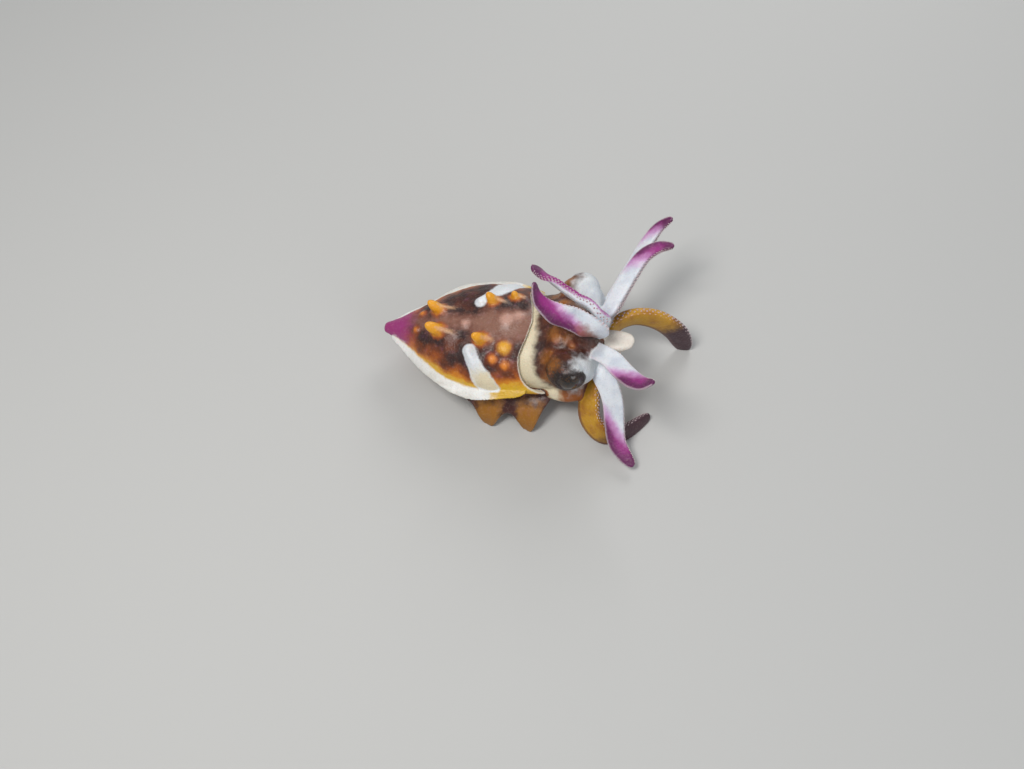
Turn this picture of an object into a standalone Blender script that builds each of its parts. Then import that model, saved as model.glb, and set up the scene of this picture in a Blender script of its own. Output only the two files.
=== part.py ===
"""A life-size still model of a flamboyant cuttlefish, walking on its lowest arms and its skirt lobes.

Metres, +Z up. The animal faces +X and its left side is +Y. Every form is made in the animal's own frame,
whose origin is on the floor under the middle of the mantle, and hangs from one empty that puts the middle
of the model's bounding box over the world's origin.
"""

import math

import bmesh
import bpy
import numpy as np

# Driving sizes
GAP = 0.0003
SOLVER = "EXACT"
MODEL_CENTRE = (0.02740, 0.00422)
CURVE_STEP = 0.02
SURFACE_STEP = 0.001
LEFT = np.array((0.0, 1.0, 0.0))
UP = np.array((0.0, 0.0, 1.0))

# Mantle, tip to rim, then over the rim into the neck's pocket:
# x, half width, rise, drop, axis height, share of the rim's scallop
MANTLE_RINGS = (
    (-0.0300, 0.0000, 0.0000, 0.0000, 0.0140, 0.0),
    (-0.0294, 0.0017, 0.0016, 0.0014, 0.0141, 0.0),
    (-0.0270, 0.0029, 0.0027, 0.0022, 0.0143, 0.0),
    (-0.0230, 0.0050, 0.0048, 0.0036, 0.0147, 0.0),
    (-0.0170, 0.0092, 0.0076, 0.0057, 0.0152, 0.0),
    (-0.0100, 0.0146, 0.0100, 0.0078, 0.0159, 0.0),
    (-0.0020, 0.0193, 0.0119, 0.0095, 0.0167, 0.0),
    (0.0070, 0.0219, 0.0134, 0.0105, 0.0176, 0.05),
    (0.0150, 0.0221, 0.0138, 0.0110, 0.0184, 0.3),
    (0.0215, 0.0211, 0.0136, 0.0115, 0.0192, 0.75),
    (0.0248, 0.0209, 0.0136, 0.0118, 0.0197, 1.0),
    (0.0262, 0.0207, 0.0134, 0.0117, 0.0199, 1.0),
    (0.0269, 0.0202, 0.0130, 0.0113, 0.0200, 1.0),
    (0.0262, 0.0197, 0.0126, 0.0109, 0.0201, 1.0),
    (0.0235, 0.0193, 0.0122, 0.0106, 0.0203, 0.7),
    (0.0212, 0.0188, 0.0118, 0.0103, 0.0204, 0.35),
    (0.0192, 0.0120, 0.0076, 0.0070, 0.0204, 0.0),
    (0.0190, 0.0000, 0.0000, 0.0000, 0.0204, 0.0),
)
MANTLE_RIM_SHARE = 11.5 / 17
MANTLE_POCKET_SHARE = 12.5 / 17
MANTLE_LOOPS = 30
MANTLE_SIDES = 28
# How far forward the mantle's rim reaches, at even steps from the middle of the back to that of the belly
RIM_SCALLOP = (-0.0012, -0.0022, -0.0037, -0.0028, -0.0003, 0.0040, 0.0072, 0.0072, 0.0036, 0.0008)

# Fins: places along the mantle where each begins and ends, its section and its ripple
FIN_SPAN = (0.13, 0.60)
FIN_WIDTH = 0.0043
FIN_FULLNESS = 0.45
FIN_ROOT_SINK = 0.0022
FIN_DROOP = 0.0010
FIN_THICKNESS = 0.0011
FIN_RIPPLE = 0.0007
FIN_RIPPLES = 3
FIN_LOOPS = 20
FIN_SIDES = 8

# Head, neck to crown: x, half width, rise, drop, axis height, backward lean of the section
HEAD_RINGS = (
    (0.0197, 0.0000, 0.0000, 0.0000, 0.0204, 0.00),
    (0.0199, 0.0110, 0.0070, 0.0064, 0.0204, 0.00),
    (0.0207, 0.0178, 0.0110, 0.0096, 0.0204, 0.00),
    (0.0235, 0.0187, 0.0118, 0.0102, 0.0204, 0.00),
    (0.0275, 0.0187, 0.0122, 0.0104, 0.0207, 0.00),
    (0.0312, 0.0186, 0.0127, 0.0108, 0.0217, 0.00),
    (0.0345, 0.0184, 0.0134, 0.0116, 0.0234, 0.00),
    (0.0390, 0.0180, 0.0136, 0.0122, 0.0248, 0.00),
    (0.0426, 0.0166, 0.0126, 0.0118, 0.0260, 0.04),
    (0.0462, 0.0140, 0.0110, 0.0106, 0.0271, 0.10),
    (0.0490, 0.0118, 0.0100, 0.0096, 0.0279, 0.18),
    (0.0505, 0.0102, 0.0089, 0.0082, 0.0283, 0.24),
    (0.0513, 0.0068, 0.0059, 0.0054, 0.0285, 0.26),
    (0.0515, 0.0000, 0.0000, 0.0000, 0.0285, 0.26),
)
JOWL = 0.72
HEAD_LOOPS = 22
HEAD_SIDES = 34
SIDE_CROWDING = 0.12

# Swellings of the head on its left side: centre, then half sizes along, across and up
SWELLINGS = (
    (0.0406, 0.0160, 0.0300, 0.0072, 0.0072, 0.0072),
    (0.0448, 0.0138, 0.0298, 0.0056, 0.0066, 0.0062),
    (0.0395, 0.0138, 0.0142, 0.0084, 0.0058, 0.0044),
)
SWELLING_BLEND = 0.0034
SWELLING_FALL = 6.0

# Eyes
EYE_CENTRE = (0.0406, 0.0160, 0.0300)
EYE_AXIS = (0.32, 0.88, 0.34)
EYE_BULGE = 0.0072
EYE_BALL = 0.0052
EYE_OUT = 0.0026
LID_RING = 0.0043
LID_THICKNESS = 0.0009
LID_PLACE = 0.78
LID_LENGTHENED = 1.12
LID_SQUASHED = 0.80

# Crown of arms
CROWN = (0.0498, 0.0, 0.0284)
CROWN_AXIS = (0.962, 0.0, 0.272)
CROWN_WIDTH = 0.0082
CROWN_HEIGHT = 0.0076
ROOT_SINK = 0.0042
ROOT_SPLAY = 0.7
ROOT_NARROWING = 0.32
ROOT_NARROW_END = 0.3

# An arm is a blade, deep from its suckers to its keel and thin across.
# Its section: share of the depth towards the suckers, share of the thickness across
ARM_HALF_DEPTH = 0.0036
ARM_HALF_THICKNESS = 0.0020
ARM_SECTION = (
    (0.97, 0.00),
    (0.94, 0.72),
    (0.68, 1.00),
    (0.20, 0.96),
    (-0.35, 0.72),
    (-0.78, 0.40),
    (-1.00, 0.00),
    (-0.78, -0.40),
    (-0.35, -0.72),
    (0.20, -0.96),
    (0.68, -1.00),
    (0.94, -0.72),
)
ARM_RINGS = 6
ARM_BREAK = 0.58
ARM_TIP_DEPTH = 0.20
ARM_TIP_THICKNESS = 0.35
ARM_THINNING = 0.35
ARM_TIP_ROUNDING = 0.0004
ROLL_END = 0.5
FLOOR_REACH = 0.0035

# Suckers: two rows along the edge, each a short cup with a dip
SUCKERS_IN_ROW = 7
SUCKER_SPAN = (0.27, 0.96)
SUCKER_STAGGER = 0.018
SUCKER_MARGINS = (0.022, 0.012)
SUCKER_RADIUS = 0.00072
SUCKER_LEAST = 0.45
SUCKER_SPREAD = 0.44
SUCKER_SEAT = 0.95
SUCKER_LOOPS = ((-1.3, 0.7), (0.75, 1.0))
SUCKER_DIP = 0.35
SUCKER_SIDES = 5

# Name, angle round the crown from the top towards the left, roll, depth share, bluntness,
# then the points after the root
ARMS = (
    (
        "arm_left_1", 20, -40, 1.30, 3.6,
        ((0.0492, 0.0030, 0.0388), (0.0462, 0.0028, 0.0425), (0.0405, 0.0040, 0.0452),
         (0.0345, 0.0056, 0.0483), (0.0287, 0.0071, 0.0519), (0.0239, 0.0067, 0.0562)),
    ),
    (
        "arm_right_1", -20, 40, 1.22, 3.2,
        ((0.0492, -0.0045, 0.0390), (0.0460, -0.0061, 0.0438), (0.0400, -0.0062, 0.0477),
         (0.0335, -0.0068, 0.0508), (0.0280, -0.0053, 0.0548), (0.0260, -0.0028, 0.0605)),
    ),
    (
        "arm_left_2", 64, -10, 0.90, 4.0,
        ((0.0519, 0.0092, 0.0332), (0.0543, 0.0148, 0.0358), (0.0573, 0.0225, 0.0379),
         (0.0610, 0.0302, 0.0396), (0.0658, 0.0344, 0.0406), (0.0713, 0.0348, 0.0423)),
    ),
    (
        "arm_right_2", -64, 0, 1.10, 6.0,
        ((0.0512, -0.0098, 0.0338), (0.0553, -0.0128, 0.0358), (0.0597, -0.0186, 0.0388),
         (0.0639, -0.0239, 0.0425), (0.0673, -0.0269, 0.0460), (0.0702, -0.0284, 0.0503)),
    ),
    (
        "arm_left_3", 108, 44, 0.85, 3.6,
        ((0.0515, 0.0137, 0.0286), (0.0545, 0.0216, 0.0299), (0.0580, 0.0302, 0.0325),
         (0.0615, 0.0377, 0.0372), (0.0649, 0.0426, 0.0414), (0.0692, 0.0441, 0.0460)),
    ),
    (
        "arm_right_3", -108, 0, 1.10, 4.0,
        ((0.0528, -0.0125, 0.0252), (0.0560, -0.0160, 0.0215), (0.0583, -0.0195, 0.0167),
         (0.0598, -0.0243, 0.0114), (0.0621, -0.0300, 0.0068), (0.0686, -0.0361, 0.0036)),
    ),
    (
        "arm_left_4", 156, -32, 1.30, 9.0,
        ((0.0530, 0.0074, 0.0202), (0.0565, 0.0118, 0.0222), (0.0625, 0.0146, 0.0230),
         (0.0700, 0.0164, 0.0200), (0.0776, 0.0178, 0.0116), (0.0822, 0.0188, -0.0006)),
    ),
    (
        "arm_right_4", -156, 0, 1.20, 5.0,
        ((0.0512, -0.0095, 0.0200), (0.0495, -0.0165, 0.0158), (0.0508, -0.0225, 0.0090),
         (0.0566, -0.0254, 0.0040), (0.0640, -0.0228, 0.0025), (0.0722, -0.0135, 0.0018)),
    ),
)

# Walking lobes of the mantle's skirt, from inside the mantle to the foot: y and height, on the left side
LOBE_PATH = ((0.0150, 0.0125), (0.0206, 0.0100), (0.0249, 0.0055), (0.0266, -0.0004))
LOBE_LEAN = 0.0030
LOBE_LOOPS = 9
LOBE_SIDES = 12
LOBE_SPREAD = 0.0053
LOBE_FOOT = 0.0015
LOBE_TAPER = 0.8
LOBE_HALF_THICKNESS = 0.0015
LOBE_THINNING = 0.40
LOBE_TIP = 0.0008
LOBES = (("lobe_rear_left", 1, 0.0110), ("lobe_front_left", 1, 0.0256))
LOBES += (("lobe_rear_right", -1, 0.0110), ("lobe_front_right", -1, 0.0256))

# Funnel: its path, half width and half height at root and end, and the loops of its hollow
FUNNEL_PATH = ((0.0235, 0, 0.0112), (0.0300, 0, 0.0100), (0.0370, 0, 0.0092), (0.0430, 0, 0.0100))
FUNNEL_ROOT = (0.0058, 0.0030)
FUNNEL_END = (0.0030, 0.0026)
FUNNEL_HOLLOW = ((0.0004, 0.72), (-0.0020, 0.60), (-0.0036, 0.45))
FUNNEL_DEPTH = 0.0040
FUNNEL_LOOPS = 8
FUNNEL_SIDES = 12

# Lips: their middle, then distance forward and radius of each loop
MOUTH_CENTRE = (0.0488, 0, 0.0302)
LIP_LOOPS = ((0.0, 0.0024), (0.0024, 0.0024), (0.0033, 0.0019), (0.0029, 0.0010), (0.0019, 0.0005))
LIP_SIDES = 16
MOUTH_DEPTH = 0.0016

# Clubs of the feeding tentacles, one over the other between the arms
CLUBS = (
    ("tentacle_left", ((0.0470, 0.0016, 0.0252), (0.0530, 0.0014, 0.0268), (0.0625, 0.0016, 0.0292))),
    ("tentacle_right", ((0.0470, -0.0016, 0.0226), (0.0530, -0.0010, 0.0228), (0.0612, 0.0004, 0.0246))),
)
CLUB_LOOPS = 9
CLUB_SIDES = 12
CLUB_STALK = 0.42
CLUB_FULL = 0.62
CLUB_END = 0.0003
CLUB_HALF_WIDTH = 0.0036
CLUB_HALF_HEIGHT = 0.0017

# Raised flaps on the mantle: place along it, angle round it, length, height, thickness
FLAPS = (
    (0.324, 79, 0.0096, 0.0048, 0.0050),
    (0.334, 110, 0.0100, 0.0050, 0.0052),
    (0.455, 71, 0.0076, 0.0034, 0.0046),
    (0.443, 114, 0.0070, 0.0042, 0.0048),
    (0.535, 61, 0.0052, 0.0022, 0.0036),
)
# A flap's section as it rises: height share, length share, thickness share
FLAP_LOOPS = ((-0.35, 1.0, 1.0), (0.12, 0.92, 0.80), (0.42, 0.72, 0.66), (0.74, 0.52, 0.56))
FLAP_LOOPS += ((0.96, 0.28, 0.32),)
FLAP_SIDES = 10
FLAP_LEAN = 0.42
FLAP_LEAN_CURVE = 1.2
FLAP_TIP = 0.04

# White bars across the mantle: inner end, middle and outer end, each a place along it and an angle round it
BARS = (
    ((0.400, 127), (0.426, 147), (0.452, 166)),
    ((0.405, 72), (0.452, 55), (0.492, 28)),
)
BAR_HALF_WIDTH = 0.0025
BAR_SINK = 0.0008
BAR_RISE = 0.0013
BAR_FADE = 0.7
BAR_BLUNT_END = 0.22
BAR_LEAST = 0.12
BAR_STEP = 0.05
BAR_LOOPS = 8
BAR_SIDES = 12

# Warts: place along the body, angle round it, radius, height
MANTLE_WARTS = (
    (0.509, 122, 0.0025, 0.0017),
    (0.472, 134, 0.0017, 0.0012),
    (0.525, 142, 0.0018, 0.0011),
    (0.488, 92, 0.0026, 0.0012),
    (0.530, 87, 0.0020, 0.0010),
    (0.378, 98, 0.0014, 0.0008),
    (0.250, 78, 0.0012, 0.0007),
    (0.240, 116, 0.0012, 0.0007),
)
HEAD_WARTS = (
    (0.480, 113, 0.0024, 0.0011),
    (0.480, 67, 0.0024, 0.0011),
    (0.469, 132, 0.0014, 0.0012),
    (0.469, 48, 0.0014, 0.0012),
    (0.594, 126, 0.0013, 0.0017),
    (0.594, 54, 0.0013, 0.0017),
)
WART_LOOPS = ((-0.7, 1.0), (0.25, 0.92), (0.75, 0.58))
WART_SIDES = 8


def material(name, colour, roughness):
    """A Principled material with one colour."""
    made = bpy.data.materials.new(name)
    made.use_nodes = True
    shader = made.node_tree.nodes["Principled BSDF"]
    shader.inputs["Base Color"].default_value = (*colour, 1)
    shader.inputs["Roughness"].default_value = roughness
    shader.inputs["Metallic"].default_value = 0
    return made


def along(rows, share):
    """The smooth value at a share, 0 to 1, of the way through evenly counted rows."""
    rows = np.asarray(rows, float)
    place = min(max(share, 0.0), 1.0) * (len(rows) - 1)
    i = min(int(place), len(rows) - 2)
    f = place - i
    before, first, second = rows[max(i - 1, 0)], rows[i], rows[i + 1]
    after = rows[min(i + 2, len(rows) - 1)]
    return 0.5 * (
        2 * first
        + (second - before) * f
        + (2 * before - 5 * first + 4 * second - after) * f**2
        + (3 * first - before - 3 * second + after) * f**3
    )


def unit(vector):
    """The vector at length 1."""
    vector = np.asarray(vector, float)
    return vector / np.linalg.norm(vector)


def turned(vector, start, end):
    """The vector after the shortest turn that carries direction start to direction end."""
    axis = np.cross(start, end)
    sine, cosine = np.linalg.norm(axis), float(np.dot(start, end))
    if sine < 1e-9:
        return np.asarray(vector, float)
    axis = axis / sine
    across = np.cross(axis, vector)
    return vector * cosine + across * sine + axis * np.dot(axis, vector) * (1 - cosine)


def mesh_object(name, mesh):
    """An object of the mesh, in the scene's own collection."""
    made = bpy.data.objects.new(name, mesh)
    bpy.context.scene.collection.objects.link(made)
    return made


def loft(name, rings, start, end):
    """A closed skin through rings of points and out to a point at each end.

    Both halves of a ring are split alike, so that a thin curved form keeps its two faces apart.
    """
    sides = len(rings[0])
    points = [start, *(point for ring in rings for point in ring), end]
    faces = []
    for k in range(len(rings) - 1):
        for i in range(sides):
            a, b = 1 + k * sides + i, 1 + k * sides + (i + 1) % sides
            c, d = b + sides, a + sides
            faces += [(a, b, c), (a, c, d)] if i < sides // 2 else [(a, b, d), (b, c, d)]
    last = len(points) - 1
    for i in range(sides):
        j = (i + 1) % sides
        faces.append((0, 1 + j, 1 + i))
        faces.append((last, last - sides + i, last - sides + j))
    mesh = bpy.data.meshes.new(name)
    mesh.from_pydata([tuple(point) for point in points], [], faces)
    work = bmesh.new()
    work.from_mesh(mesh)
    bmesh.ops.recalc_face_normals(work, faces=work.faces)
    work.to_mesh(mesh)
    work.free()
    return mesh_object(name, mesh)


def keep_largest(mesh):
    """Leaves only the mesh's largest closed surface."""
    work = bmesh.new()
    work.from_mesh(mesh)
    left, bodies = set(work.faces), []
    while left:
        reached, body = [next(iter(left))], set()
        while reached:
            face = reached.pop()
            if face in body:
                continue
            body.add(face)
            reached += [other for edge in face.edges for other in edge.link_faces if other not in body]
        left -= body
        bodies.append(body)
    biggest = max(bodies, key=lambda body: sum(face.calc_area() for face in body))
    scraps = [face for body in bodies if body is not biggest for face in body]
    bmesh.ops.delete(work, geom=scraps, context="FACES")
    work.to_mesh(mesh)
    work.free()


def boolean(target, others, operation):
    """Joins closed pieces to the target, or cuts them from it, in one step, and removes them."""
    if not others:
        return target
    group = bpy.data.collections.new("pieces")
    for piece in others:
        group.objects.link(piece)
    step = target.modifiers.new(operation.lower(), "BOOLEAN")
    step.operation = operation
    step.operand_type = "COLLECTION"
    step.collection = group
    step.solver = SOLVER
    graph = bpy.context.evaluated_depsgraph_get()
    mesh = bpy.data.meshes.new_from_object(target.evaluated_get(graph))
    target.modifiers.clear()
    target.data = mesh
    for piece in others:
        bpy.data.objects.remove(piece)
    bpy.data.collections.remove(group)
    keep_largest(mesh)
    return target


# Mantle and head surfaces


def mantle_point(share, angle, grow=0.0):
    """A point of the mantle at a share of its rings and an angle round it, from +Y over the back.

    The enlarged form is wider outside, further forward at the rim and narrower in the neck's pocket.
    """
    x, width, rise, drop, height, scallop = along(MANTLE_RINGS, share)
    swell = grow
    if share > MANTLE_RIM_SHARE:
        swell = -grow if share > MANTLE_POCKET_SHARE else 0.0
        x += grow
    across, up = math.cos(angle), math.sin(angle)
    x += scallop * along(RIM_SCALLOP, math.acos(up) / math.pi)
    reach = rise if up > 0 else drop
    return np.array((x, (width + swell) * across, height + (reach + swell) * up))


def swelling_reach(start, ray, swelling, grow):
    """How far along a ray it leaves a swelling, falling away steadily past the swelling's edge."""
    sizes = np.array(swelling[3:]) + grow
    start = (start - np.array(swelling[:3])) / sizes
    ray = ray / sizes
    pace = math.sqrt(np.dot(ray, ray))
    nearest = -np.dot(start, ray) / pace**2
    miss = np.linalg.norm(start + nearest * ray)
    if miss < 1:
        return nearest + math.sqrt(1 - miss**2) / pace
    return nearest - SWELLING_FALL * (miss - 1) / pace


def blended(first, second):
    """The larger of two distances, rounded off where they are close to each other."""
    near = max(SWELLING_BLEND - abs(first - second), 0) / SWELLING_BLEND
    return max(first, second) + near**2 * SWELLING_BLEND / 4


def head_point(share, angle, grow=0.0):
    """A point of the head at a share of its rings and an angle round it, from +Y over the top."""
    x, width, rise, drop, height, lean = along(HEAD_RINGS, share)
    across, up = math.cos(angle), math.sin(angle)
    if up < 0:
        across, up = math.copysign(abs(across) ** JOWL, across), -abs(up) ** JOWL
    y, z = (width + grow) * across, ((rise if up > 0 else drop) + grow) * up
    reach = math.hypot(y, z)
    if reach > 1e-6:
        middle, ray = np.array((x, 0, height)), np.array((0, abs(y), z)) / reach
        full = reach
        for swelling in SWELLINGS:
            full = blended(full, swelling_reach(middle, ray, swelling, grow))
        y, z = y * full / reach, z * full / reach
    return np.array((x - lean * z, y, height + z))


def form(name, point, loops, angles, ends, grow=0.0):
    """A closed form from a surface function, with its first and last loops drawn to points."""
    rings = [[point(k / loops, angle, grow) for angle in angles] for k in range(1, loops)]
    axis = np.array(CROWN_AXIS)
    start = point(0, 0, 0) + (grow * ends[0]) * axis
    end = point(1, 0, 0) + (grow * ends[1]) * axis
    return loft(name, rings, start, end)


def circle(sides):
    """Evenly spaced angles of a full turn."""
    return [2 * math.pi * i / sides for i in range(sides)]


def ellipse(centre, first, second, sides):
    """Points round an ellipse with these two half axes."""
    return [centre + first * math.cos(a) + second * math.sin(a) for a in circle(sides)]


def surface_frame(point, share, angle):
    """A surface's point, outward normal and forward direction at one place."""
    here = point(share, angle)
    forward = point(share + SURFACE_STEP, angle) - point(share - SURFACE_STEP, angle)
    around = point(share, angle + SURFACE_STEP) - point(share, angle - SURFACE_STEP)
    return here, unit(np.cross(around, forward)), unit(forward)


def tangent_of(path, t):
    """The direction of a smooth path at a share of its length."""
    return unit(along(path, min(t + CURVE_STEP, 1)) - along(path, max(t - CURVE_STEP, 0)))


def mantle_body(grow=0.0):
    """The mantle with the neck's pocket in its front."""
    return form("mantle", mantle_point, MANTLE_LOOPS, circle(MANTLE_SIDES), (-1, 0), grow)


def head_body(grow=0.0):
    """The head from neck to crown, its sides set closer together where the eyes bulge."""
    angles = [a - SIDE_CROWDING * math.sin(2 * a) for a in circle(HEAD_SIDES)]
    return form("head", head_point, HEAD_LOOPS, angles, (-1, 1), grow)


# Small forms that grow from a surface


def flap(point, share, angle, length, height, thickness):
    """A raised flap with a broad root along the body and a blunt tip that leans back."""
    base, normal, forward = surface_frame(point, share, math.radians(angle))
    side = np.cross(normal, forward)
    rings = []
    for rise, long, thick in FLAP_LOOPS:
        lean = length * FLAP_LEAN * max(rise, 0) ** FLAP_LEAN_CURVE
        centre = base + normal * height * rise - forward * lean
        rings.append(ellipse(centre, forward * length / 2 * long, side * thickness / 2 * thick, FLAP_SIDES))
    tip = np.mean(rings[-1], axis=0) + normal * height * FLAP_TIP
    return loft("flap", rings, np.mean(rings[0], axis=0), tip)


def bar(places):
    """A rounded ridge over the mantle's side with a blunt, raised inner end."""
    rings = []
    for k in range(BAR_LOOPS):
        t = k / (BAR_LOOPS - 1)
        share, angle = along(places, t)
        base, normal, _ = surface_frame(mantle_point, share, math.radians(angle))
        ends = [along(places, t + step) for step in (-BAR_STEP, BAR_STEP)]
        before, after = (mantle_point(place, math.radians(turn)) for place, turn in ends)
        side = np.cross(normal, unit(after - before))
        blunt = math.sqrt(max(1 - (1 - min(t / BAR_BLUNT_END, 1)) ** 2, BAR_LEAST))
        half, tall = BAR_HALF_WIDTH * blunt, (BAR_SINK + BAR_RISE * (1 - BAR_FADE * t)) * blunt
        rings.append(ellipse(base - normal * BAR_SINK, side * half, normal * tall, BAR_SIDES))
    return loft("bar", rings, np.mean(rings[0], axis=0), np.mean(rings[-1], axis=0))


def wart(point, share, angle, radius, height):
    """A low round wart."""
    base, normal, forward = surface_frame(point, share, math.radians(angle))
    side = np.cross(normal, forward)
    rings = []
    for rise, wide in WART_LOOPS:
        size = radius * wide
        rings.append(ellipse(base + normal * height * rise, forward * size, side * size, WART_SIDES))
    return loft("wart", rings, np.mean(rings[0], axis=0), base + normal * height)


# Parts


def floor_cutter():
    """All that lies under the floor."""
    bpy.ops.mesh.primitive_cube_add(size=0.4, location=(0, 0, -0.2))
    return bpy.context.object


def make_mantle():
    mantle = mantle_body()
    pieces = [flap(mantle_point, *row) for row in FLAPS]
    pieces += [bar(places) for places in BARS]
    pieces += [wart(mantle_point, *row) for row in MANTLE_WARTS]
    boolean(mantle, pieces, "UNION")
    return boolean(mantle, [funnel_form(GAP)], "DIFFERENCE")


def fin(name, side):
    """A thin rippled fin along one side of the mantle, from behind the rim to near the tip."""
    first, last = FIN_SPAN
    rings = []
    for k in range(FIN_LOOPS):
        t = k / (FIN_LOOPS - 1)
        reach = FIN_WIDTH * math.sin(math.pi * min(max(t, 0.04), 0.96)) ** FIN_FULLNESS
        root = mantle_point(first + (last - first) * t, 0 if side > 0 else math.pi)
        ripple = FIN_RIPPLE * math.sin(2 * math.pi * FIN_RIPPLES * t)
        ring = []
        for turn in circle(FIN_SIDES):
            out = (reach + FIN_ROOT_SINK) * (1 - math.cos(turn)) / 2 - FIN_ROOT_SINK
            lift = (ripple - FIN_DROOP) * max(out, 0) / FIN_WIDTH
            ring.append(root + np.array((0, side * out, FIN_THICKNESS / 2 * math.sin(turn) + lift)))
        rings.append(ring)
    made = loft(name, rings, np.mean(rings[0], axis=0), np.mean(rings[-1], axis=0))
    return boolean(made, [mantle_body(GAP)], "DIFFERENCE")


def walking_lobe(name, side, x):
    """A leaf-shaped lobe of the mantle's skirt that stands on the floor."""
    last = len(LOBE_PATH) - 1
    path = [np.array((x + LOBE_LEAN * k / last, side * y, z)) for k, (y, z) in enumerate(LOBE_PATH)]
    rings = []
    for k in range(LOBE_LOOPS):
        t = k / (LOBE_LOOPS - 1)
        tangent = tangent_of(path, t)
        fore = unit(np.array((1.0, 0, 0)) - tangent * tangent[0])
        thin = np.cross(tangent, fore)
        half = LOBE_SPREAD * (1 - t) ** LOBE_TAPER + LOBE_FOOT
        thick = LOBE_HALF_THICKNESS * (1 - LOBE_THINNING * t)
        rings.append(ellipse(along(path, t), fore * half, thin * thick, LOBE_SIDES))
    foot = np.mean(rings[-1], axis=0) - UP * LOBE_TIP
    made = loft(name, rings, np.mean(rings[0], axis=0), foot)
    return boolean(made, [mantle_body(GAP), floor_cutter()], "DIFFERENCE")


def eye_frame(side):
    """The eye's centre and its outward axis on one side."""
    centre = np.array(EYE_CENTRE) * (1, side, 1)
    axis = unit(np.array(EYE_AXIS) * (1, side, 1))
    return centre, axis


def ball(name, centre, radius, columns, rows):
    """A round ball from Blender's sphere."""
    bpy.ops.mesh.primitive_uv_sphere_add(segments=columns, ring_count=rows, radius=radius, location=centre)
    made = bpy.context.object
    made.name = name
    return flattened(made)


def flattened(made):
    """The object with its place and scale put into its mesh."""
    bpy.context.view_layer.update()
    made.data.transform(made.matrix_world)
    made.matrix_world.identity()
    return made


def lid_ring(side):
    """The soft rim of the eye's opening, wider than it is tall."""
    centre, axis = eye_frame(side)
    middle = centre + axis * (EYE_BULGE * LID_PLACE)
    fore = unit(np.array((1.0, 0, 0)) - axis * axis[0])
    up = np.cross(axis, fore) * side
    bpy.ops.mesh.primitive_torus_add(
        major_segments=16, minor_segments=6, major_radius=LID_RING, minor_radius=LID_THICKNESS
    )
    made = bpy.context.object
    for vertex in made.data.vertices:
        a, b, c = vertex.co
        vertex.co = middle + fore * a * LID_LENGTHENED + up * b * LID_SQUASHED + axis * c
    return made


def make_head():
    head = head_body()
    pieces = [lid_ring(1), lid_ring(-1)]
    pieces += [wart(head_point, *row) for row in HEAD_WARTS]
    boolean(head, pieces, "UNION")
    cutters = [mantle_body(GAP), eye_ball("cutter", 1, GAP), eye_ball("cutter", -1, GAP)]
    return boolean(head, cutters, "DIFFERENCE")


def eye_ball(name, side, grow=0.0):
    """One eyeball, standing a little out of its socket."""
    centre, axis = eye_frame(side)
    return ball(name, centre + axis * EYE_OUT, EYE_BALL + grow, 16, 9)


def funnel_form(grow=0.0):
    """The funnel under the head, with its mouth hollowed unless it is enlarged for cutting."""
    rings = []
    for k in range(FUNNEL_LOOPS):
        t = k / (FUNNEL_LOOPS - 1)
        wide, tall = (root * (1 - t) + end * t + grow for root, end in zip(FUNNEL_ROOT, FUNNEL_END))
        rings.append(ellipse(along(FUNNEL_PATH, t), LEFT * wide, UP * tall, FUNNEL_SIDES))
    mouth = along(FUNNEL_PATH, 1)
    if grow:
        return loft("funnel_cutter", rings, along(FUNNEL_PATH, 0), mouth)
    rim = rings[-1]
    for deep, share in FUNNEL_HOLLOW:
        rings.append([(point - mouth) * share + mouth + np.array((deep, 0, 0)) for point in rim])
    return loft("funnel", rings, along(FUNNEL_PATH, 0), mouth - np.array((FUNNEL_DEPTH, 0, 0)))


def make_funnel():
    return boolean(funnel_form(), [head_body(GAP)], "DIFFERENCE")


def arm_root(angle):
    """Where an arm leaves the crown, and the direction from the crown's middle to it."""
    axis = unit(CROWN_AXIS)
    top = unit(UP - axis * axis[2])
    a = math.radians(angle)
    out = LEFT * CROWN_WIDTH * math.sin(a) + top * CROWN_HEIGHT * math.cos(a)
    return np.array(CROWN) + out, unit(out)


def evenly(points, count):
    """Points at even distances along the smooth curve through the given ones."""
    fine = 10 * count
    dense = np.array([along(points, i / fine) for i in range(fine + 1)])
    run = np.concatenate(([0], np.cumsum(np.linalg.norm(np.diff(dense, axis=0), axis=1))))
    marks = np.linspace(0, run[-1], count)
    return np.stack([np.interp(marks, run, dense[:, axis]) for axis in range(3)], axis=1)


def arm_frame(arm, t):
    """The arm's centre, its direction, the way its suckers face and the direction across it."""
    path, radial, roll = arm[:3]
    tangent = tangent_of(path, t)
    facing = turned(-radial, unit(CROWN_AXIS), tangent)
    facing = unit(facing - tangent * np.dot(facing, tangent))
    across = np.cross(tangent, facing)
    a = math.radians(roll) * min(t / ROLL_END, 1.0)
    facing = facing * math.cos(a) + across * math.sin(a)
    return along(path, t), tangent, facing, np.cross(tangent, facing)


def arm_size(arm, t):
    """Half depth and half thickness of an arm at a share of its length."""
    share, bluntness = arm[3:]
    taper = math.sqrt(max(1 - t**bluntness, 0.0))
    root = 1 - ROOT_NARROWING * max(1 - t / ROOT_NARROW_END, 0.0) ** 2
    depth = ARM_HALF_DEPTH * share * root * (ARM_TIP_DEPTH + (1 - ARM_TIP_DEPTH) * taper)
    thickness = ARM_HALF_THICKNESS * (1 - ARM_THINNING * t)
    return depth, thickness * (ARM_TIP_THICKNESS + (1 - ARM_TIP_THICKNESS) * taper)


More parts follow.
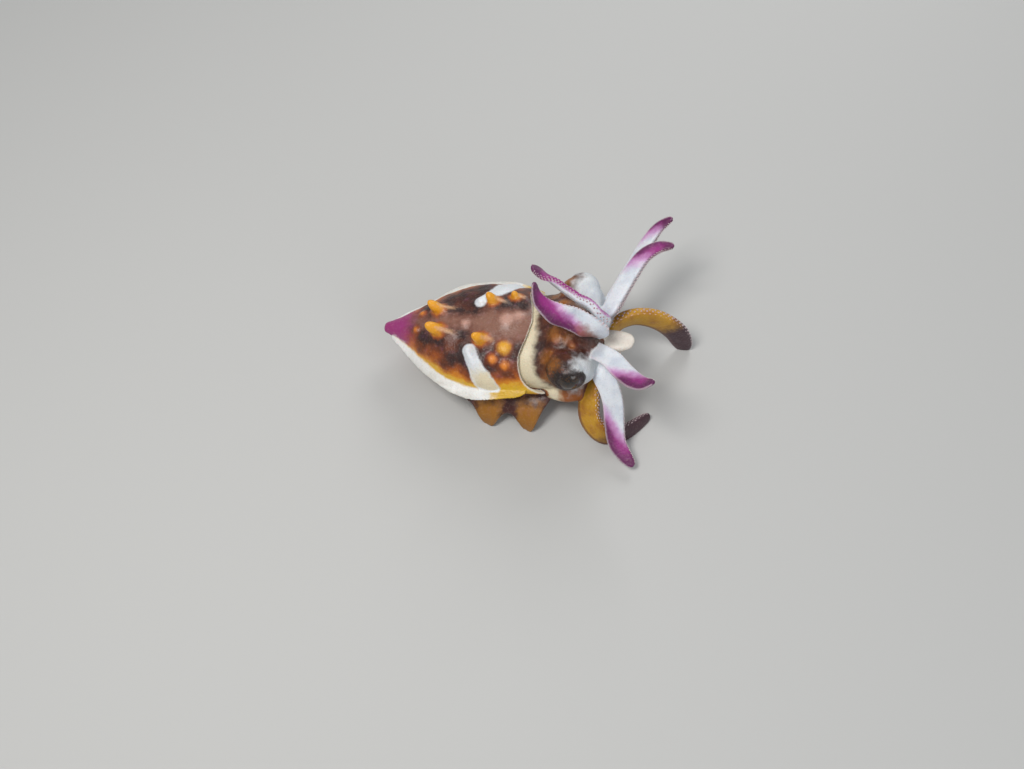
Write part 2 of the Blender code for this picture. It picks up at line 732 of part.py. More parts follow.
def arm_length(name, arm, first, last):
    """One length of an arm, rounded off where it is the tip."""
    rings = []
    for k in range(ARM_RINGS):
        step = k / (ARM_RINGS - 1)
        if last >= 1:
            step = math.sin(step * math.pi / 2)
        t = first + (last - first) * step
        centre, _, facing, across = arm_frame(arm, t)
        depth, thick = arm_size(arm, t)
        rings.append([centre + facing * depth * d + across * thick * w for d, w in ARM_SECTION])
    end = np.mean(rings[-1], axis=0)
    if last >= 1:
        end = end + arm_frame(arm, 1)[1] * ARM_TIP_ROUNDING
    return loft(name, rings, np.mean(rings[0], axis=0), end)


def sucker(arm, t, row):
    """A short cup on the arm's inner edge."""
    centre, tangent, facing, across = arm_frame(arm, t)
    depth, thick = arm_size(arm, t)
    radius = SUCKER_RADIUS * (SUCKER_LEAST + (1 - SUCKER_LEAST) * thick / ARM_HALF_THICKNESS)
    place = centre + across * thick * SUCKER_SPREAD * row + facing * depth * SUCKER_SEAT
    rings = []
    for rise, wide in SUCKER_LOOPS:
        size = radius * wide
        rings.append(ellipse(place + facing * radius * rise, across * size, tangent * size, SUCKER_SIDES))
    return loft("sucker", rings, np.mean(rings[0], axis=0), place + facing * radius * SUCKER_DIP)


def make_arm(name, angle, roll, share, bluntness, points):
    """An arm in two lengths, with two rows of suckers, its root let into the crown."""
    root, radial = arm_root(angle)
    inner = root - unit(unit(CROWN_AXIS) + radial * ROOT_SPLAY) * ROOT_SINK
    path = evenly((inner, root, *points), 40)
    arm = (path, radial, roll, share, bluntness)
    half_gap = GAP / 2 / np.linalg.norm(np.diff(path, axis=0), axis=1).sum()
    spans = ((0.0, ARM_BREAK - half_gap, "_base"), (ARM_BREAK + half_gap, 1.0, "_tip"))
    marks = np.linspace(*SUCKER_SPAN, SUCKERS_IN_ROW)
    places = [(mark + SUCKER_STAGGER * row, row) for mark in marks for row in (-1, 1)]
    made = []
    for first, last, ending in spans:
        piece = arm_length(name + ending, arm, first, last)
        low, high = first + SUCKER_MARGINS[0], last - SUCKER_MARGINS[1]
        boolean(piece, [sucker(arm, *place) for place in places if low < place[0] < high], "UNION")
        made.append(piece)
    boolean(made[0], [head_body(GAP)], "DIFFERENCE")
    if points[-1][2] < FLOOR_REACH:
        boolean(made[1], [floor_cutter()], "DIFFERENCE")
    return made


def tentacle(name, path):
    """The flat club of one feeding tentacle, its end showing between the arms."""
    rings = []
    for k in range(CLUB_LOOPS):
        t = k / (CLUB_LOOPS - 1)
        swell = CLUB_STALK + (1 - CLUB_STALK) * math.sin(math.pi / 2 * min(t / CLUB_FULL, 1)) ** 2
        swell *= math.sqrt(max(1 - t**5, 0.05))
        wide, tall = CLUB_HALF_WIDTH * swell, CLUB_HALF_HEIGHT * swell**0.5
        rings.append(ellipse(along(path, t), LEFT * wide, UP * tall, CLUB_SIDES))
    end = along(path, 1) + np.array((CLUB_END, 0, 0))
    return boolean(loft(name, rings, along(path, 0), end), [head_body(GAP)], "DIFFERENCE")


def mouth():
    """The lips in the middle of the arms."""
    centre, axis = np.array(MOUTH_CENTRE), unit(CROWN_AXIS)
    top = unit(UP - axis * axis[2])
    rings = []
    for forward, size in LIP_LOOPS:
        rings.append(ellipse(centre + axis * forward, LEFT * size, top * size, LIP_SIDES))
    made = loft("mouth", rings, centre, centre + axis * MOUTH_DEPTH)
    return boolean(made, [head_body(GAP)], "DIFFERENCE")


def main():
    for old in list(bpy.data.objects):
        bpy.data.objects.remove(old)
    brown = material("mantle_skin", (0.16, 0.05, 0.03), 0.35)
    white = material("white_skin", (0.80, 0.80, 0.78), 0.35)
    magenta = material("magenta_skin", (0.42, 0.06, 0.30), 0.35)
    amber = material("amber_skin", (0.50, 0.24, 0.03), 0.35)
    dark = material("eye_dark", (0.02, 0.02, 0.03), 0.10)
    pieces = [(make_mantle(), brown), (make_head(), brown), (make_funnel(), amber), (mouth(), white)]
    for name, side in (("left", 1), ("right", -1)):
        pieces.append((fin("fin_" + name, side), white))
        pieces.append((eye_ball("eye_" + name, side), dark))
    pieces += [(walking_lobe(*lobe), amber) for lobe in LOBES]
    pieces += [(tentacle(*club), white) for club in CLUBS]
    for arm in ARMS:
        base, tip = make_arm(*arm)
        lowest = arm[0].endswith("4")
        pieces += [(base, amber if lowest else white), (tip, amber if lowest else magenta)]
    cuttlefish = bpy.data.collections.new("flamboyant_cuttlefish")
    bpy.context.scene.collection.children.link(cuttlefish)
    stand = bpy.data.objects.new("animal_frame", None)
    stand.location = (-MODEL_CENTRE[0], -MODEL_CENTRE[1], 0)
    cuttlefish.objects.link(stand)
    for piece, skin in pieces:
        piece.data.materials.clear()
        piece.data.materials.append(skin)
        piece.data.shade_smooth()
        piece.parent = stand
        for group in piece.users_collection:
            group.objects.unlink(piece)
        cuttlefish.objects.link(piece)


main()
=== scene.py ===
"""A life-size flamboyant cuttlefish: one wet, patterned skin over all flesh, fine suckers and two eyes.

Metres, +Z up. Forms are made in the animal's own frame, which faces +X with its left side towards +Y, and are
then moved into the world's.
"""

import math

import bpy
import numpy as np
from mathutils import Matrix, Vector, kdtree, noise


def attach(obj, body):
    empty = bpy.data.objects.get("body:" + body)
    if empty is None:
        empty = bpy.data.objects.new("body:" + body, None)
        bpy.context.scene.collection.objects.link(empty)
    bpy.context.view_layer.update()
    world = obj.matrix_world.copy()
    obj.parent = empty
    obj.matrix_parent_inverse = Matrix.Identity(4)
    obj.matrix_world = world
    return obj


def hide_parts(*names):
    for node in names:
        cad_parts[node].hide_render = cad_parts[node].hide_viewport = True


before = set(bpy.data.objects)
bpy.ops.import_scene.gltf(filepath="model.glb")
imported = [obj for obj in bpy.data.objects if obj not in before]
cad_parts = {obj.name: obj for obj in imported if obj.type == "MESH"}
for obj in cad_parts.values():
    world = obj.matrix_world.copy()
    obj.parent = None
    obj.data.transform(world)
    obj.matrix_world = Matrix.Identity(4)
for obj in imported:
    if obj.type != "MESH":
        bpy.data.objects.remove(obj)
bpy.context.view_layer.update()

MM = 0.001
MODEL_CENTRE = np.array((0.02740, 0.00422, 0.0))
LEFT = np.array((0.0, 1.0, 0.0))
UP = np.array((0.0, 0.0, 1.0))

# A marking's field says how far inside its border a point lies, in mm; this is its value well outside
FAR = -6.0

# The lowest height of a form that rests on the floor
ON_FLOOR = 0.00002

# Share of a path over which its direction is taken
STEP = 0.02

# Rings: x, half width, rise, drop and axis height in tenths of a millimetre, then a share in hundredths
RING_UNITS = np.array((10000, 10000, 10000, 10000, 10000, 100))

# Mantle, whose rings' share is of the rim's scallop
MANTLE_RINGS = np.array((
    (-300, 0, 0, 0, 140, 0),
    (-294, 17, 16, 14, 141, 0),
    (-270, 29, 27, 22, 143, 0),
    (-230, 50, 48, 36, 147, 0),
    (-170, 92, 76, 57, 152, 0),
    (-100, 146, 100, 78, 159, 0),
    (-20, 193, 119, 95, 167, 0),
    (70, 219, 134, 105, 176, 5),
    (150, 221, 138, 110, 184, 30),
    (215, 211, 136, 115, 192, 75),
    (248, 209, 136, 118, 197, 100),
    (262, 207, 134, 117, 199, 100),
    (269, 202, 130, 113, 200, 100),
    (262, 197, 126, 109, 201, 100),
    (235, 193, 122, 106, 203, 70),
    (212, 188, 118, 103, 204, 35),
    (192, 120, 76, 70, 204, 0),
    (190, 0, 0, 0, 204, 0),
)) / RING_UNITS
MANTLE_SPANS = len(MANTLE_RINGS) - 1
RIM_PLACE = 11.8 / MANTLE_SPANS
RIM_SCALLOP = (-0.0012, -0.0022, -0.0037, -0.0028, -0.0003, 0.0040, 0.0072, 0.0072, 0.0036, 0.0008)
MANTLE_LOOPS = MANTLE_SPANS * 18
MANTLE_SIDES = 300

# Head, whose rings' share is the backward lean of the section
HEAD_RINGS = np.array((
    (197, 0, 0, 0, 204, 0),
    (199, 106, 66, 60, 204, 0),
    (207, 171, 104, 90, 204, 0),
    (235, 180, 111, 96, 204, 0),
    (275, 182, 118, 100, 207, 0),
    (312, 185, 126, 107, 217, 0),
    (345, 184, 134, 116, 234, 0),
    (390, 180, 136, 122, 248, 0),
    (426, 166, 126, 118, 260, 4),
    (462, 140, 110, 106, 271, 10),
    (490, 118, 100, 96, 279, 18),
    (505, 102, 89, 82, 283, 24),
    (513, 68, 59, 54, 285, 26),
    (515, 0, 0, 0, 285, 26),
)) / RING_UNITS
JOWL = 0.72
HEAD_LOOPS = (len(HEAD_RINGS) - 1) * 12
HEAD_SIDES = 220

# Swellings over the eyes and under them: centre, half sizes
SWELLINGS = (
    (0.0406, 0.0160, 0.0300, 0.0072, 0.0072, 0.0072),
    (0.0448, 0.0138, 0.0298, 0.0056, 0.0066, 0.0062),
    (0.0395, 0.0138, 0.0142, 0.0084, 0.0058, 0.0044),
)
SWELLING_BLEND = 0.0034
SWELLING_FALL = 6.0

# Fins
FIN_SPAN = (0.13, 0.60)
FIN_WIDTH = 0.0043
FIN_FULLNESS = 0.45
FIN_ROOT_SINK = 0.0022
FIN_DROOP = 0.0010
FIN_THICKNESS = 0.0011
FIN_RIPPLE = 0.0007
FIN_RIPPLES = 3

# Eyes
EYE_CENTRE = (0.0406, 0.0160, 0.0300)
EYE_AXIS = (0.32, 0.88, 0.34)
EYE_BULGE = 0.0072
EYE_BALL = 0.0052
EYE_OUT = 0.0026
EYE_SINK = 0.0004
EYE_HOOD = 0.0008
LID_RING = 0.0043
LID_THICKNESS = 0.0009
LID_PLACE = 0.78
LID_LENGTHENED = 1.12
LID_SQUASHED = 0.80
EYE_ROWS = 48
EYE_SIDES = 72
LID_LOOPS = 96
LID_SIDES = 24

# By side: how high in the eye its cover of skin begins, then its dark rim's width in mm and how much less it
# is over the eye
EYE_COVER = {1: -0.0004, -1: 0.0026}
EYE_RIMS = {1: (6.2, 3.0), -1: (7.2, 0.8)}

# The pupil's shape in mm: where it folds, slope, depth, how its edge and its ends fade
PUPIL_FOLD = 1.05
PUPIL_SLOPE = 0.9
PUPIL_DROP = 0.35
PUPIL_HALF = (0.34, 0.52)
PUPIL_ENDS = (2.1, 2.3)

# Crown and arms
CROWN = (0.0498, 0.0, 0.0284)
CROWN_AXIS = (0.962, 0.0, 0.272)
CROWN_WIDTH = 0.0082
CROWN_HEIGHT = 0.0076
ROOT_SINK = 0.0042
ROOT_SPLAY = 0.7
ROOT_NARROWING = 0.32
ROOT_NARROW_END = 0.3
ARM_HALF_DEPTH = 0.0036
ARM_HALF_THICKNESS = 0.0020
ARM_SECTION_HALF = (
    (0.97, 0.00), (0.94, 0.72), (0.68, 1.00), (0.20, 0.96), (-0.35, 0.72), (-0.78, 0.40), (-1.00, 0.00),
)
ARM_SECTION = (*ARM_SECTION_HALF, *((d, -w) for d, w in ARM_SECTION_HALF[-2:0:-1]))
ARM_LOOPS = 130
ARM_SIDES = 36
ARM_TIP_DEPTH = 0.20
ARM_TIP_THICKNESS = 0.35
ARM_THINNING = 0.35
ROLL_END = 0.5

# Arms: name, angle round the crown, roll, share of full depth, bluntness, points in tenths of a millimetre
ARMS = (
    ("arm_left_1", 20, -40, 1.3, 3.6, (
        (492, 30, 388), (462, 28, 425), (405, 40, 452),
        (345, 56, 483), (287, 71, 519), (239, 67, 562),
    )),
    ("arm_right_1", -20, 40, 1.22, 3.2, (
        (492, -45, 390), (460, -61, 438), (400, -62, 477),
        (335, -68, 508), (280, -53, 548), (260, -28, 605),
    )),
    ("arm_left_2", 64, -10, 0.9, 4.0, (
        (519, 92, 332), (543, 148, 358), (573, 225, 379),
        (610, 302, 396), (658, 344, 406), (713, 348, 423),
    )),
    ("arm_right_2", -64, 0, 1.1, 6.0, (
        (512, -98, 338), (553, -128, 358), (597, -186, 388),
        (639, -239, 425), (673, -269, 460), (702, -284, 503),
    )),
    ("arm_left_3", 108, 44, 0.85, 3.6, (
        (515, 137, 286), (545, 216, 299), (580, 302, 325),
        (615, 377, 372), (649, 426, 414), (692, 441, 460),
    )),
    ("arm_right_3", -108, 0, 1.1, 4.0, (
        (528, -125, 252), (560, -160, 215), (583, -195, 167),
        (598, -243, 114), (621, -300, 68), (686, -361, 36),
    )),
    ("arm_left_4", 156, -32, 1.3, 9.0, (
        (530, 74, 202), (565, 118, 222), (625, 146, 230),
        (700, 164, 200), (776, 178, 116), (822, 188, -6),
    )),
    ("arm_right_4", -156, 0, 1.2, 5.0, (
        (512, -95, 200), (495, -165, 158), (508, -225, 90),
        (566, -254, 40), (640, -228, 25), (722, -135, 18),
    )),
)

# Where magenta begins along each upper arm, how much further it runs along the keel and along one face in mm,
# and whether its inner edge carries a dark line of painted shade
MAGENTA = {
    "arm_left_1": (0.52, 2.0, 15.0, False),
    "arm_right_1": (0.52, 9.0, 0.0, False),
    "arm_left_2": (0.66, 3.0, 0.0, True),
    "arm_right_2": (0.64, 6.0, 0.0, False),
    "arm_left_3": (0.84, 5.0, 0.0, True),
    "arm_right_3": (0.66, 7.0, 0.0, True),
}

# Webs between neighbouring arms, with how far along the arms they reach
WEB_HALF = 0.0007
WEB_HOLLOW = 0.62
WEB_START = 0.02
WEBS = (
    ("arm_right_2", "arm_right_3", 0.30),
    ("arm_left_2", "arm_left_3", 0.26),
    ("arm_right_1", "arm_right_2", 0.16),
    ("arm_left_1", "arm_left_2", 0.16),
    ("arm_right_3", "arm_right_4", 0.17),
    ("arm_left_3", "arm_left_4", 0.15),
)

# Walking lobes in the skirt, funnel and lips
LOBE_PATH = ((0.0150, 0.0125), (0.0206, 0.0100), (0.0249, 0.0055), (0.0266, -0.0004))
LOBE_LEAN = 0.0030
LOBE_HALF = 0.0038
LOBES = (0.0110, 0.0256)
SKIRT_SPAN = (0.0000, 0.0360)
SKIRT_REACH = 0.60
SKIRT_HALF = 0.0015
SKIRT_RUFFLE = 0.0006
SKIRT_RUFFLE_LENGTH = 0.0073
FUNNEL_PATH = ((0.0235, 0, 0.0112), (0.0300, 0, 0.0100), (0.0370, 0, 0.0092), (0.0430, 0, 0.0100))
FUNNEL_ROOT = (0.0058, 0.0030)
FUNNEL_END = (0.0030, 0.0026)
FUNNEL_HOLLOW = ((0.0004, 0.72), (-0.0020, 0.60), (-0.0036, 0.45))
MOUTH_CENTRE = (0.0488, 0, 0.0302)
LIP_LOOPS = ((0.0, 0.0024), (0.0024, 0.0024), (0.0033, 0.0019), (0.0029, 0.0010), (0.0019, 0.0005))

# Clubs of the feeding tentacles: three points, half width
CLUBS = (
    ((0.0470, 0.0012, 0.0252), (0.0530, 0.0006, 0.0268), (0.0625, 0.0002, 0.0288), 0.0046),
    ((0.0470, -0.0016, 0.0226), (0.0530, -0.0004, 0.0230), (0.0606, 0.0010, 0.0246), 0.0030),
)
CLUB_STALK = 0.42
CLUB_FULL = 0.62
CLUB_HALF_HEIGHT = 0.0017

# Flaps: place along the mantle, angle round it, length, height, thickness
FLAPS = (
    (0.324, 79, 0.0096, 0.0048, 0.0050),
    (0.334, 110, 0.0100, 0.0050, 0.0052),
    (0.455, 71, 0.0076, 0.0034, 0.0046),
    (0.443, 114, 0.0070, 0.0042, 0.0048),
    (0.535, 61, 0.0052, 0.0022, 0.0036),
)
KNOB_BACK = 0.27
KNOB_WIDE = 0.42
APRON = 2.1
RIDGE_END = 0.62
RIDGE_HALF = 0.00135
FLAP_LEAN = 0.42

# White bars: places along the mantle and angles round it, then where they end on each fin in mm
BARS = (
    ((0.400, 127), (0.428, 149), (0.462, 176)),
    ((0.405, 72), (0.452, 50), (0.510, 4)),
)
BAR_ENDS = {1: 18.6, -1: 13.8}
BAR_END_HALF = 3.9
BAR_HALF_WIDTH = 0.0025
BAR_RISE = 0.0013

# Warts of the mantle: place along it, angle round it, radius, height, tint
MANTLE_WARTS = (
    (0.509, 122, 0.0025, 0.0017, "yellow"),
    (0.472, 134, 0.0017, 0.0012, "orange"),
    (0.525, 142, 0.0018, 0.0011, "orange"),
    (0.488, 92, 0.0026, 0.0012, "pink"),
    (0.530, 87, 0.0020, 0.0010, "pink"),
    (0.378, 98, 0.0014, 0.0008, "pink"),
    (0.250, 78, 0.0012, 0.0007, "orange"),
    (0.240, 116, 0.0012, 0.0007, "orange"),
)
HEAD_WARTS = tuple(
    (place, 90 + side * aside, radius, height, "orange")
    for place, aside, radius, height in (
        (0.480, 23, 0.0024, 0.0011),
        (0.469, 42, 0.0014, 0.0012),
        (0.594, 36, 0.0013, 0.0017),
    )
    for side in (1, -1)
)

# Ochre blotches of the head: place in mm on its left side, radius
BLOTCHES = (
    ((34.0, 5.5, 37.0), 2.6),
    ((33.5, 13.5, 31.0), 2.4),
    ((38.5, 8.0, 38.5), 1.7),
    ((35.5, 19.0, 25.5), 3.2),
    ((41.0, 3.5, 38.5), 1.6),
    ((35.7, 18.4, 34.7), 2.8),
)

# White of the cheeks on the far eye's dome and beside the crown, and the middle of the painted shade between
# the arms' bases
CHEEK_BALLS = (((0.0432, 0.0148, 0.0342), 6.0), ((0.0494, -0.0116, 0.0288), 4.8))
BROW = (0.0500, 0, 0.0290)

# Suckers: rows across an arm's inner edge, then the cup's loops: height, radius, share of the rim's tint
SUCKER_LANES = (-0.62, -0.21, 0.21, 0.62)
SUCKERS_IN_ROW = 24
SUCKER_SPAN = (0.20, 0.965)
SUCKER_STAGGER = 0.016
SUCKER_RADIUS = 0.00040
SUCKER_SIDES = 8
SUCKER_CLEARANCE = 0.0012
SUCKER_LOOPS = ((-0.6, 0.70, 0.5), (0.45, 1.0, 0.9), (0.75, 0.82, 1.0), (0.45, 0.50, 0.3))

# Skin
VOXEL = 0.00030
SKIN_TRIANGLES = 192000
SMOOTHINGS = 8
SMOOTHING = (0.5, -0.52)
SOFTENING = 0.8

# Creases deeper than the first depth in mm are filled, and those deeper than the second fully
CREASE = (0.008, 0.035)
CREASE_GAIN = 2.2
FILLINGS = 20
FILLING = 0.6
CREASE_SPREADS, FIELD_SPREADS, SOFT_SPREADS = 4, 2, 10

# How many of the forms' points give a point of the skin its fields, and a distance added to theirs
NEAREST = 3
NEAR = 2e-5

# Lumps of the skin's noises to a metre
COARSE, MIDDLE, FINE = 170.0, 420.0, 1300.0

# Markings from the lowest layer up: name, where it begins and is full, noise, how ragged, colour, strength
MARKINGS = (
    ("belly", -2.0, 2.5, COARSE, 1.6, (196, 168, 140), 0.9),
    ("flank", -8.0, 0.0, COARSE, 3.4, (158, 76, 16), 0.95),
    ("flank", -3.4, 1.4, COARSE, 2.6, (206, 126, 16), 1.0),
    ("flank", -0.8, 2.4, MIDDLE, 1.4, (220, 172, 34), 1.0),
    ("median", -1.8, 1.8, COARSE, 2.6, (116, 72, 58), 0.92),
    ("median", 0.0, 4.5, MIDDLE, 2.6, (146, 106, 88), 0.60),
    ("saffron", -2.6, 2.2, MIDDLE, 2.0, (208, 166, 28), 1.0),
    ("yellow", -2.0, 0.6, MIDDLE, 0.5, (150, 74, 20), 0.9),
    ("yellow", -0.9, 1.1, MIDDLE, 0.4, (220, 160, 34), 1.0),
    ("orange", -1.9, 0.4, MIDDLE, 0.5, (136, 60, 18), 0.9),
    ("orange", -0.7, 1.0, MIDDLE, 0.4, (214, 126, 30), 1.0),
    ("pink", -1.4, 1.2, FINE, 0.3, (196, 152, 136), 0.85),
    ("knob", -1.7, -0.1, MIDDLE, 0.5, (168, 84, 20), 0.9),
    ("knob", -0.7, 0.9, MIDDLE, 0.4, (230, 160, 18), 1.0),
    # Ridge: a painted highlight along the crest of each flap
    ("ridge", -0.9, 0.6, FINE, 0.2, (216, 168, 124), 0.78),
    ("bar", -0.5, 0.5, MIDDLE, 0.2, (222, 226, 230), 1.0),
    ("tail", -4.5, 2.5, MIDDLE, 0.8, (150, 46, 112), 1.0),
    ("fin", -1.2, 1.4, MIDDLE, 0.9, (224, 224, 222), 1.0),
    ("fin", 1.0, 5.5, MIDDLE, 2.0, (194, 192, 178), 0.6),
    ("rim", 0.3, 1.0, FINE, 0.1, (228, 220, 204), 1.0),
    # The skirt's dark maroon is partly the fold's own colour and partly painted shade under the body
    ("skirt", 0.0, 1.0, FINE, 0.0, (66, 26, 20), 1.0),
    ("lobe", -1.5, 1.8, MIDDLE, 1.3, (156, 102, 20), 0.95),
    ("head", 0.0, 1.0, FINE, 0.0, (54, 24, 14), 0.6),
    ("blotch", -2.2, 1.6, MIDDLE, 1.3, (152, 92, 24), 0.8),
    ("jowl", -1.5, 3.5, COARSE, 2.4, (150, 82, 16), 0.95),
    # Painted shade in the hollow between the arms' bases above the crown
    ("brow_shade", -2.5, 2.0, MIDDLE, 1.2, (88, 58, 48), 0.85),
    ("eye_rim", -0.8, 1.8, FINE, 1.5, (34, 15, 12), 0.92),
    ("cheek", -1.8, 2.0, MIDDLE, 1.2, (208, 212, 214), 1.0),
    ("eye_rim", 0.7, 1.5, FINE, 0.3, (28, 13, 12), 0.95),
    ("cheek", 1.0, 6.5, MIDDLE, 2.6, (182, 192, 202), 0.6),
    ("cream", -1.8, 1.6, MIDDLE, 0.8, (218, 206, 176), 1.0),
    ("arm", 0.0, 1.0, FINE, 0.0, (220, 224, 230), 1.0),
    ("arm", 3.2, 5.6, COARSE, 2.0, (184, 194, 208), 0.6),
    ("amber", 0.0, 1.0, FINE, 0.0, (192, 142, 26), 1.0),
    ("amber", 3.4, 5.4, COARSE, 2.2, (150, 88, 18), 0.7),
    ("magenta", -6.0, 0.5, MIDDLE, 1.3, (196, 120, 190), 0.75),
    ("magenta", -2.5, 6.0, MIDDLE, 1.5, (146, 36, 122), 1.0),
    ("shade", -1.2, 2.2, MIDDLE, 0.9, (150, 74, 40), 0.85),
    ("purple", -2.5, 1.0, MIDDLE, 0.8, (84, 18, 70), 0.85),
    ("dusk", -3.0, 5.0, MIDDLE, 1.5, (60, 26, 40), 1.0),
    # Keel: a thin pale line along the upper arms' outer edge, painted sheen of skin seen edge-on
    ("keel", 0.2, 0.9, FINE, 0.1, (228, 216, 220), 0.45),
    # A dark line of painted shade along the suckers' edge of some upper arms and along the under edge of the
    # lower arms
    ("edge_shade", 0.0, 0.8, FINE, 0.1, (86, 40, 50), 0.6),
    ("club", 0.0, 1.0, FINE, 0.0, (216, 208, 198), 1.0),
)
FIELDS = tuple(dict.fromkeys(row[0] for row in MARKINGS))
SOFT_FIELDS = ("arm", "amber", "head", "cheek", "brow_shade", "cream", "jowl", "skirt", "club", "eye_rim")

# View: turn from the animal's right side and rise, in degrees, then where it looks and stands
VIEW_TURN = 10
VIEW_RISE = 60
VIEW_TARGET = (0.01165, 0, 0.0175)
VIEW_ASIDE = 0.006544
VIEW_DOWN = 0.016912
VIEW_DISTANCE = 0.450
SENSOR_WIDTH = 36
FOCAL_SHARE = 1224 / 1024
LAMP_TARGET = (0.0, 0.0, 0.02)
LAMPS = (
    ("key_light", (-0.18, -0.22, 0.60), 0.22, 2.6, (1.0, 0.98, 0.95)),
    ("fill_light", (0.45, -0.35, 0.35), 0.40, 0.8, (0.95, 0.97, 1.0)),
    ("rim_light", (0.10, 0.50, 0.40), 0.30, 1.3, (1.0, 1.0, 1.0)),
)


def along(rows, share):
    """The smooth values at shares, 0 to 1, of the way through evenly counted rows."""
    rows = np.asarray(rows, float)
    share = np.asarray(share, float)
    place = np.clip(share, 0, 1) * (len(rows) - 1)
    i = np.minimum(place.astype(int), len(rows) - 2)
    f = place - i
    if rows.ndim > 1:
        f = f[..., None]
    before, first, second = rows[np.maximum(i - 1, 0)], rows[i], rows[i + 1]
    after = rows[np.minimum(i + 2, len(rows) - 1)]
    return 0.5 * (
        2 * first
        + (second - before) * f
        + (2 * before - 5 * first + 4 * second - after) * f**2
        + (3 * first - before - 3 * second + after) * f**3
    )


def unit(vectors):
    """Vectors at length 1."""
    vectors = np.asarray(vectors, float)
    return vectors / np.maximum(np.linalg.norm(vectors, axis=-1, keepdims=True), 1e-12)


def smooth(low, high, values):
    """0 under low, 1 over high and a smooth step between."""
    t = np.clip((values - low) / (high - low), 0, 1)
    return t * t * (3 - 2 * t)


def circle(sides):
    """Evenly spaced angles of a full turn."""
    return np.arange(sides) * 2 * math.pi / sides


def ellipses(centres, first, second, sides):
    """Rings of points round the centres, with these half axes for each."""
    turn = circle(sides)[None, :, None]
    return centres[:, None] + first[:, None] * np.cos(turn) + second[:, None] * np.sin(turn)


def mantle_point(share, angle):
    """Points of the mantle at shares of its rings and angles round it, from +Y over the back."""
    share, angle = np.broadcast_arrays(np.asarray(share, float), np.asarray(angle, float))
    x, width, rise, drop, height, scallop = np.moveaxis(along(MANTLE_RINGS, share), -1, 0)
    across, up = np.cos(angle), np.sin(angle)
    x = x + scallop * along(RIM_SCALLOP, np.arccos(np.clip(up, -1, 1)) / math.pi)
    return np.stack((x, width * across, height + np.where(up > 0, rise, drop) * up), -1)


def swelling_reach(start, ray, swelling):
    """How far along rays they leave a swelling, falling away steadily past its edge."""
    sizes = np.array(swelling[3:])
    start = (start - np.array(swelling[:3])) / sizes
    ray = ray / sizes
    pace = np.maximum(np.linalg.norm(ray, axis=-1), 1e-9)
    nearest = -(start * ray).sum(-1) / pace**2
    miss = np.linalg.norm(start + nearest[..., None] * ray, axis=-1)
    inside = nearest + np.sqrt(np.maximum(1 - miss**2, 0)) / pace
    return np.where(miss < 1, inside, nearest - SWELLING_FALL * (miss - 1) / pace)


def head_point(share, angle):
    """Points of the head at shares of its rings and angles round it, from +Y over the top."""
    share, angle = np.broadcast_arrays(np.asarray(share, float), np.asarray(angle, float))
    x, width, rise, drop, height, lean = np.moveaxis(along(HEAD_RINGS, share), -1, 0)
    across, up = np.cos(angle), np.sin(angle)
    across = np.where(up < 0, np.sign(across) * np.abs(across) ** JOWL, across)
    up = np.where(up < 0, -np.abs(up) ** JOWL, up)
    y, z = width * across, np.where(up > 0, rise, drop) * up
    reach = np.maximum(np.hypot(y, z), 1e-7)
    middle = np.stack((x, np.zeros_like(x), height), -1)
    ray = np.stack((np.zeros_like(x), np.abs(y), z), -1) / reach[..., None]
    full = reach
    for swelling in SWELLINGS:
        other = swelling_reach(middle, ray, swelling)
        near = np.maximum(SWELLING_BLEND - np.abs(full - other), 0) / SWELLING_BLEND
        full = np.maximum(full, other) + near**2 * SWELLING_BLEND / 4
    full = np.where(reach > 1e-6, full, reach)
    y, z = y * full / reach, z * full / reach
    return np.stack((x - lean * z, y, height + z), -1)


def surface_frame(point, share, angle):
    """A surface's point, outward normal and forward direction at one place."""
    step = 0.001
    here = point(share, angle)
    forward = point(share + step, angle) - point(share - step, angle)
    around = point(share, angle + step) - point(share, angle - step)
    return here, unit(np.cross(around, forward)), unit(forward)


def surface_grid(point, loops, sides):
    """Shares, angles, points and outward normals of a surface's grid."""
    share = np.linspace(0, 1, loops + 1)[1:-1]
    share, angle = np.meshgrid(share, circle(sides), indexing="ij")
    points = point(share, angle)
    forward = np.gradient(points, axis=0)
    around = np.roll(points, -1, axis=1) - np.roll(points, 1, axis=1)
    return share, angle, points, unit(np.cross(around, forward))


def distance_to(points, line):
    """Distance in mm from each point to the nearest of a line's."""
    best = np.full(points.shape[:-1], 1e9)
    for place in line:
        best = np.minimum(best, np.linalg.norm(points - place, axis=-1))
    return best / MM


forms = []


def ring_faces(loops, sides):
    """Quads between rings of points, and fans to the points before the first ring and after the last."""
    k, i = np.meshgrid(np.arange(loops - 1), np.arange(sides), indexing="ij")
    a, b = 1 + k * sides + i, 1 + k * sides + (i + 1) % sides
    quads = np.stack((a, b, b + sides, a + sides), -1).reshape(-1, 4)
    i = np.arange(sides)
    j = (i + 1) % sides
    last = loops * sides + 1
    fans = np.vstack((
        np.stack((0 * i, 1 + j, 1 + i), -1),
        np.stack((0 * i + last, last - sides + i, last - sides + j), -1),
    ))
    return quads.tolist() + fans.tolist()


def field_rows(fields, rings):
    """A row for each field, with its values at the rings' points."""
    given = [np.broadcast_to(fields.get(name, FAR), rings.shape[:2]) for name in FIELDS]
    return np.reshape(given, (len(FIELDS), -1))


def add_form(rings, start=None, end=None, **fields):
    """Keeps a closed form made of rings of points, with a field's value at each point."""
    loops, sides = rings.shape[:2]
    start = rings[0].mean(0) if start is None else start
    end = rings[-1].mean(0) if end is None else end
    given = field_rows(fields, rings)
    values = np.vstack((given[:, :sides].mean(1), given.T, given[:, -sides:].mean(1)))
    forms.append((np.vstack((start, rings.reshape(-1, 3), end)), ring_faces(loops, sides), values))


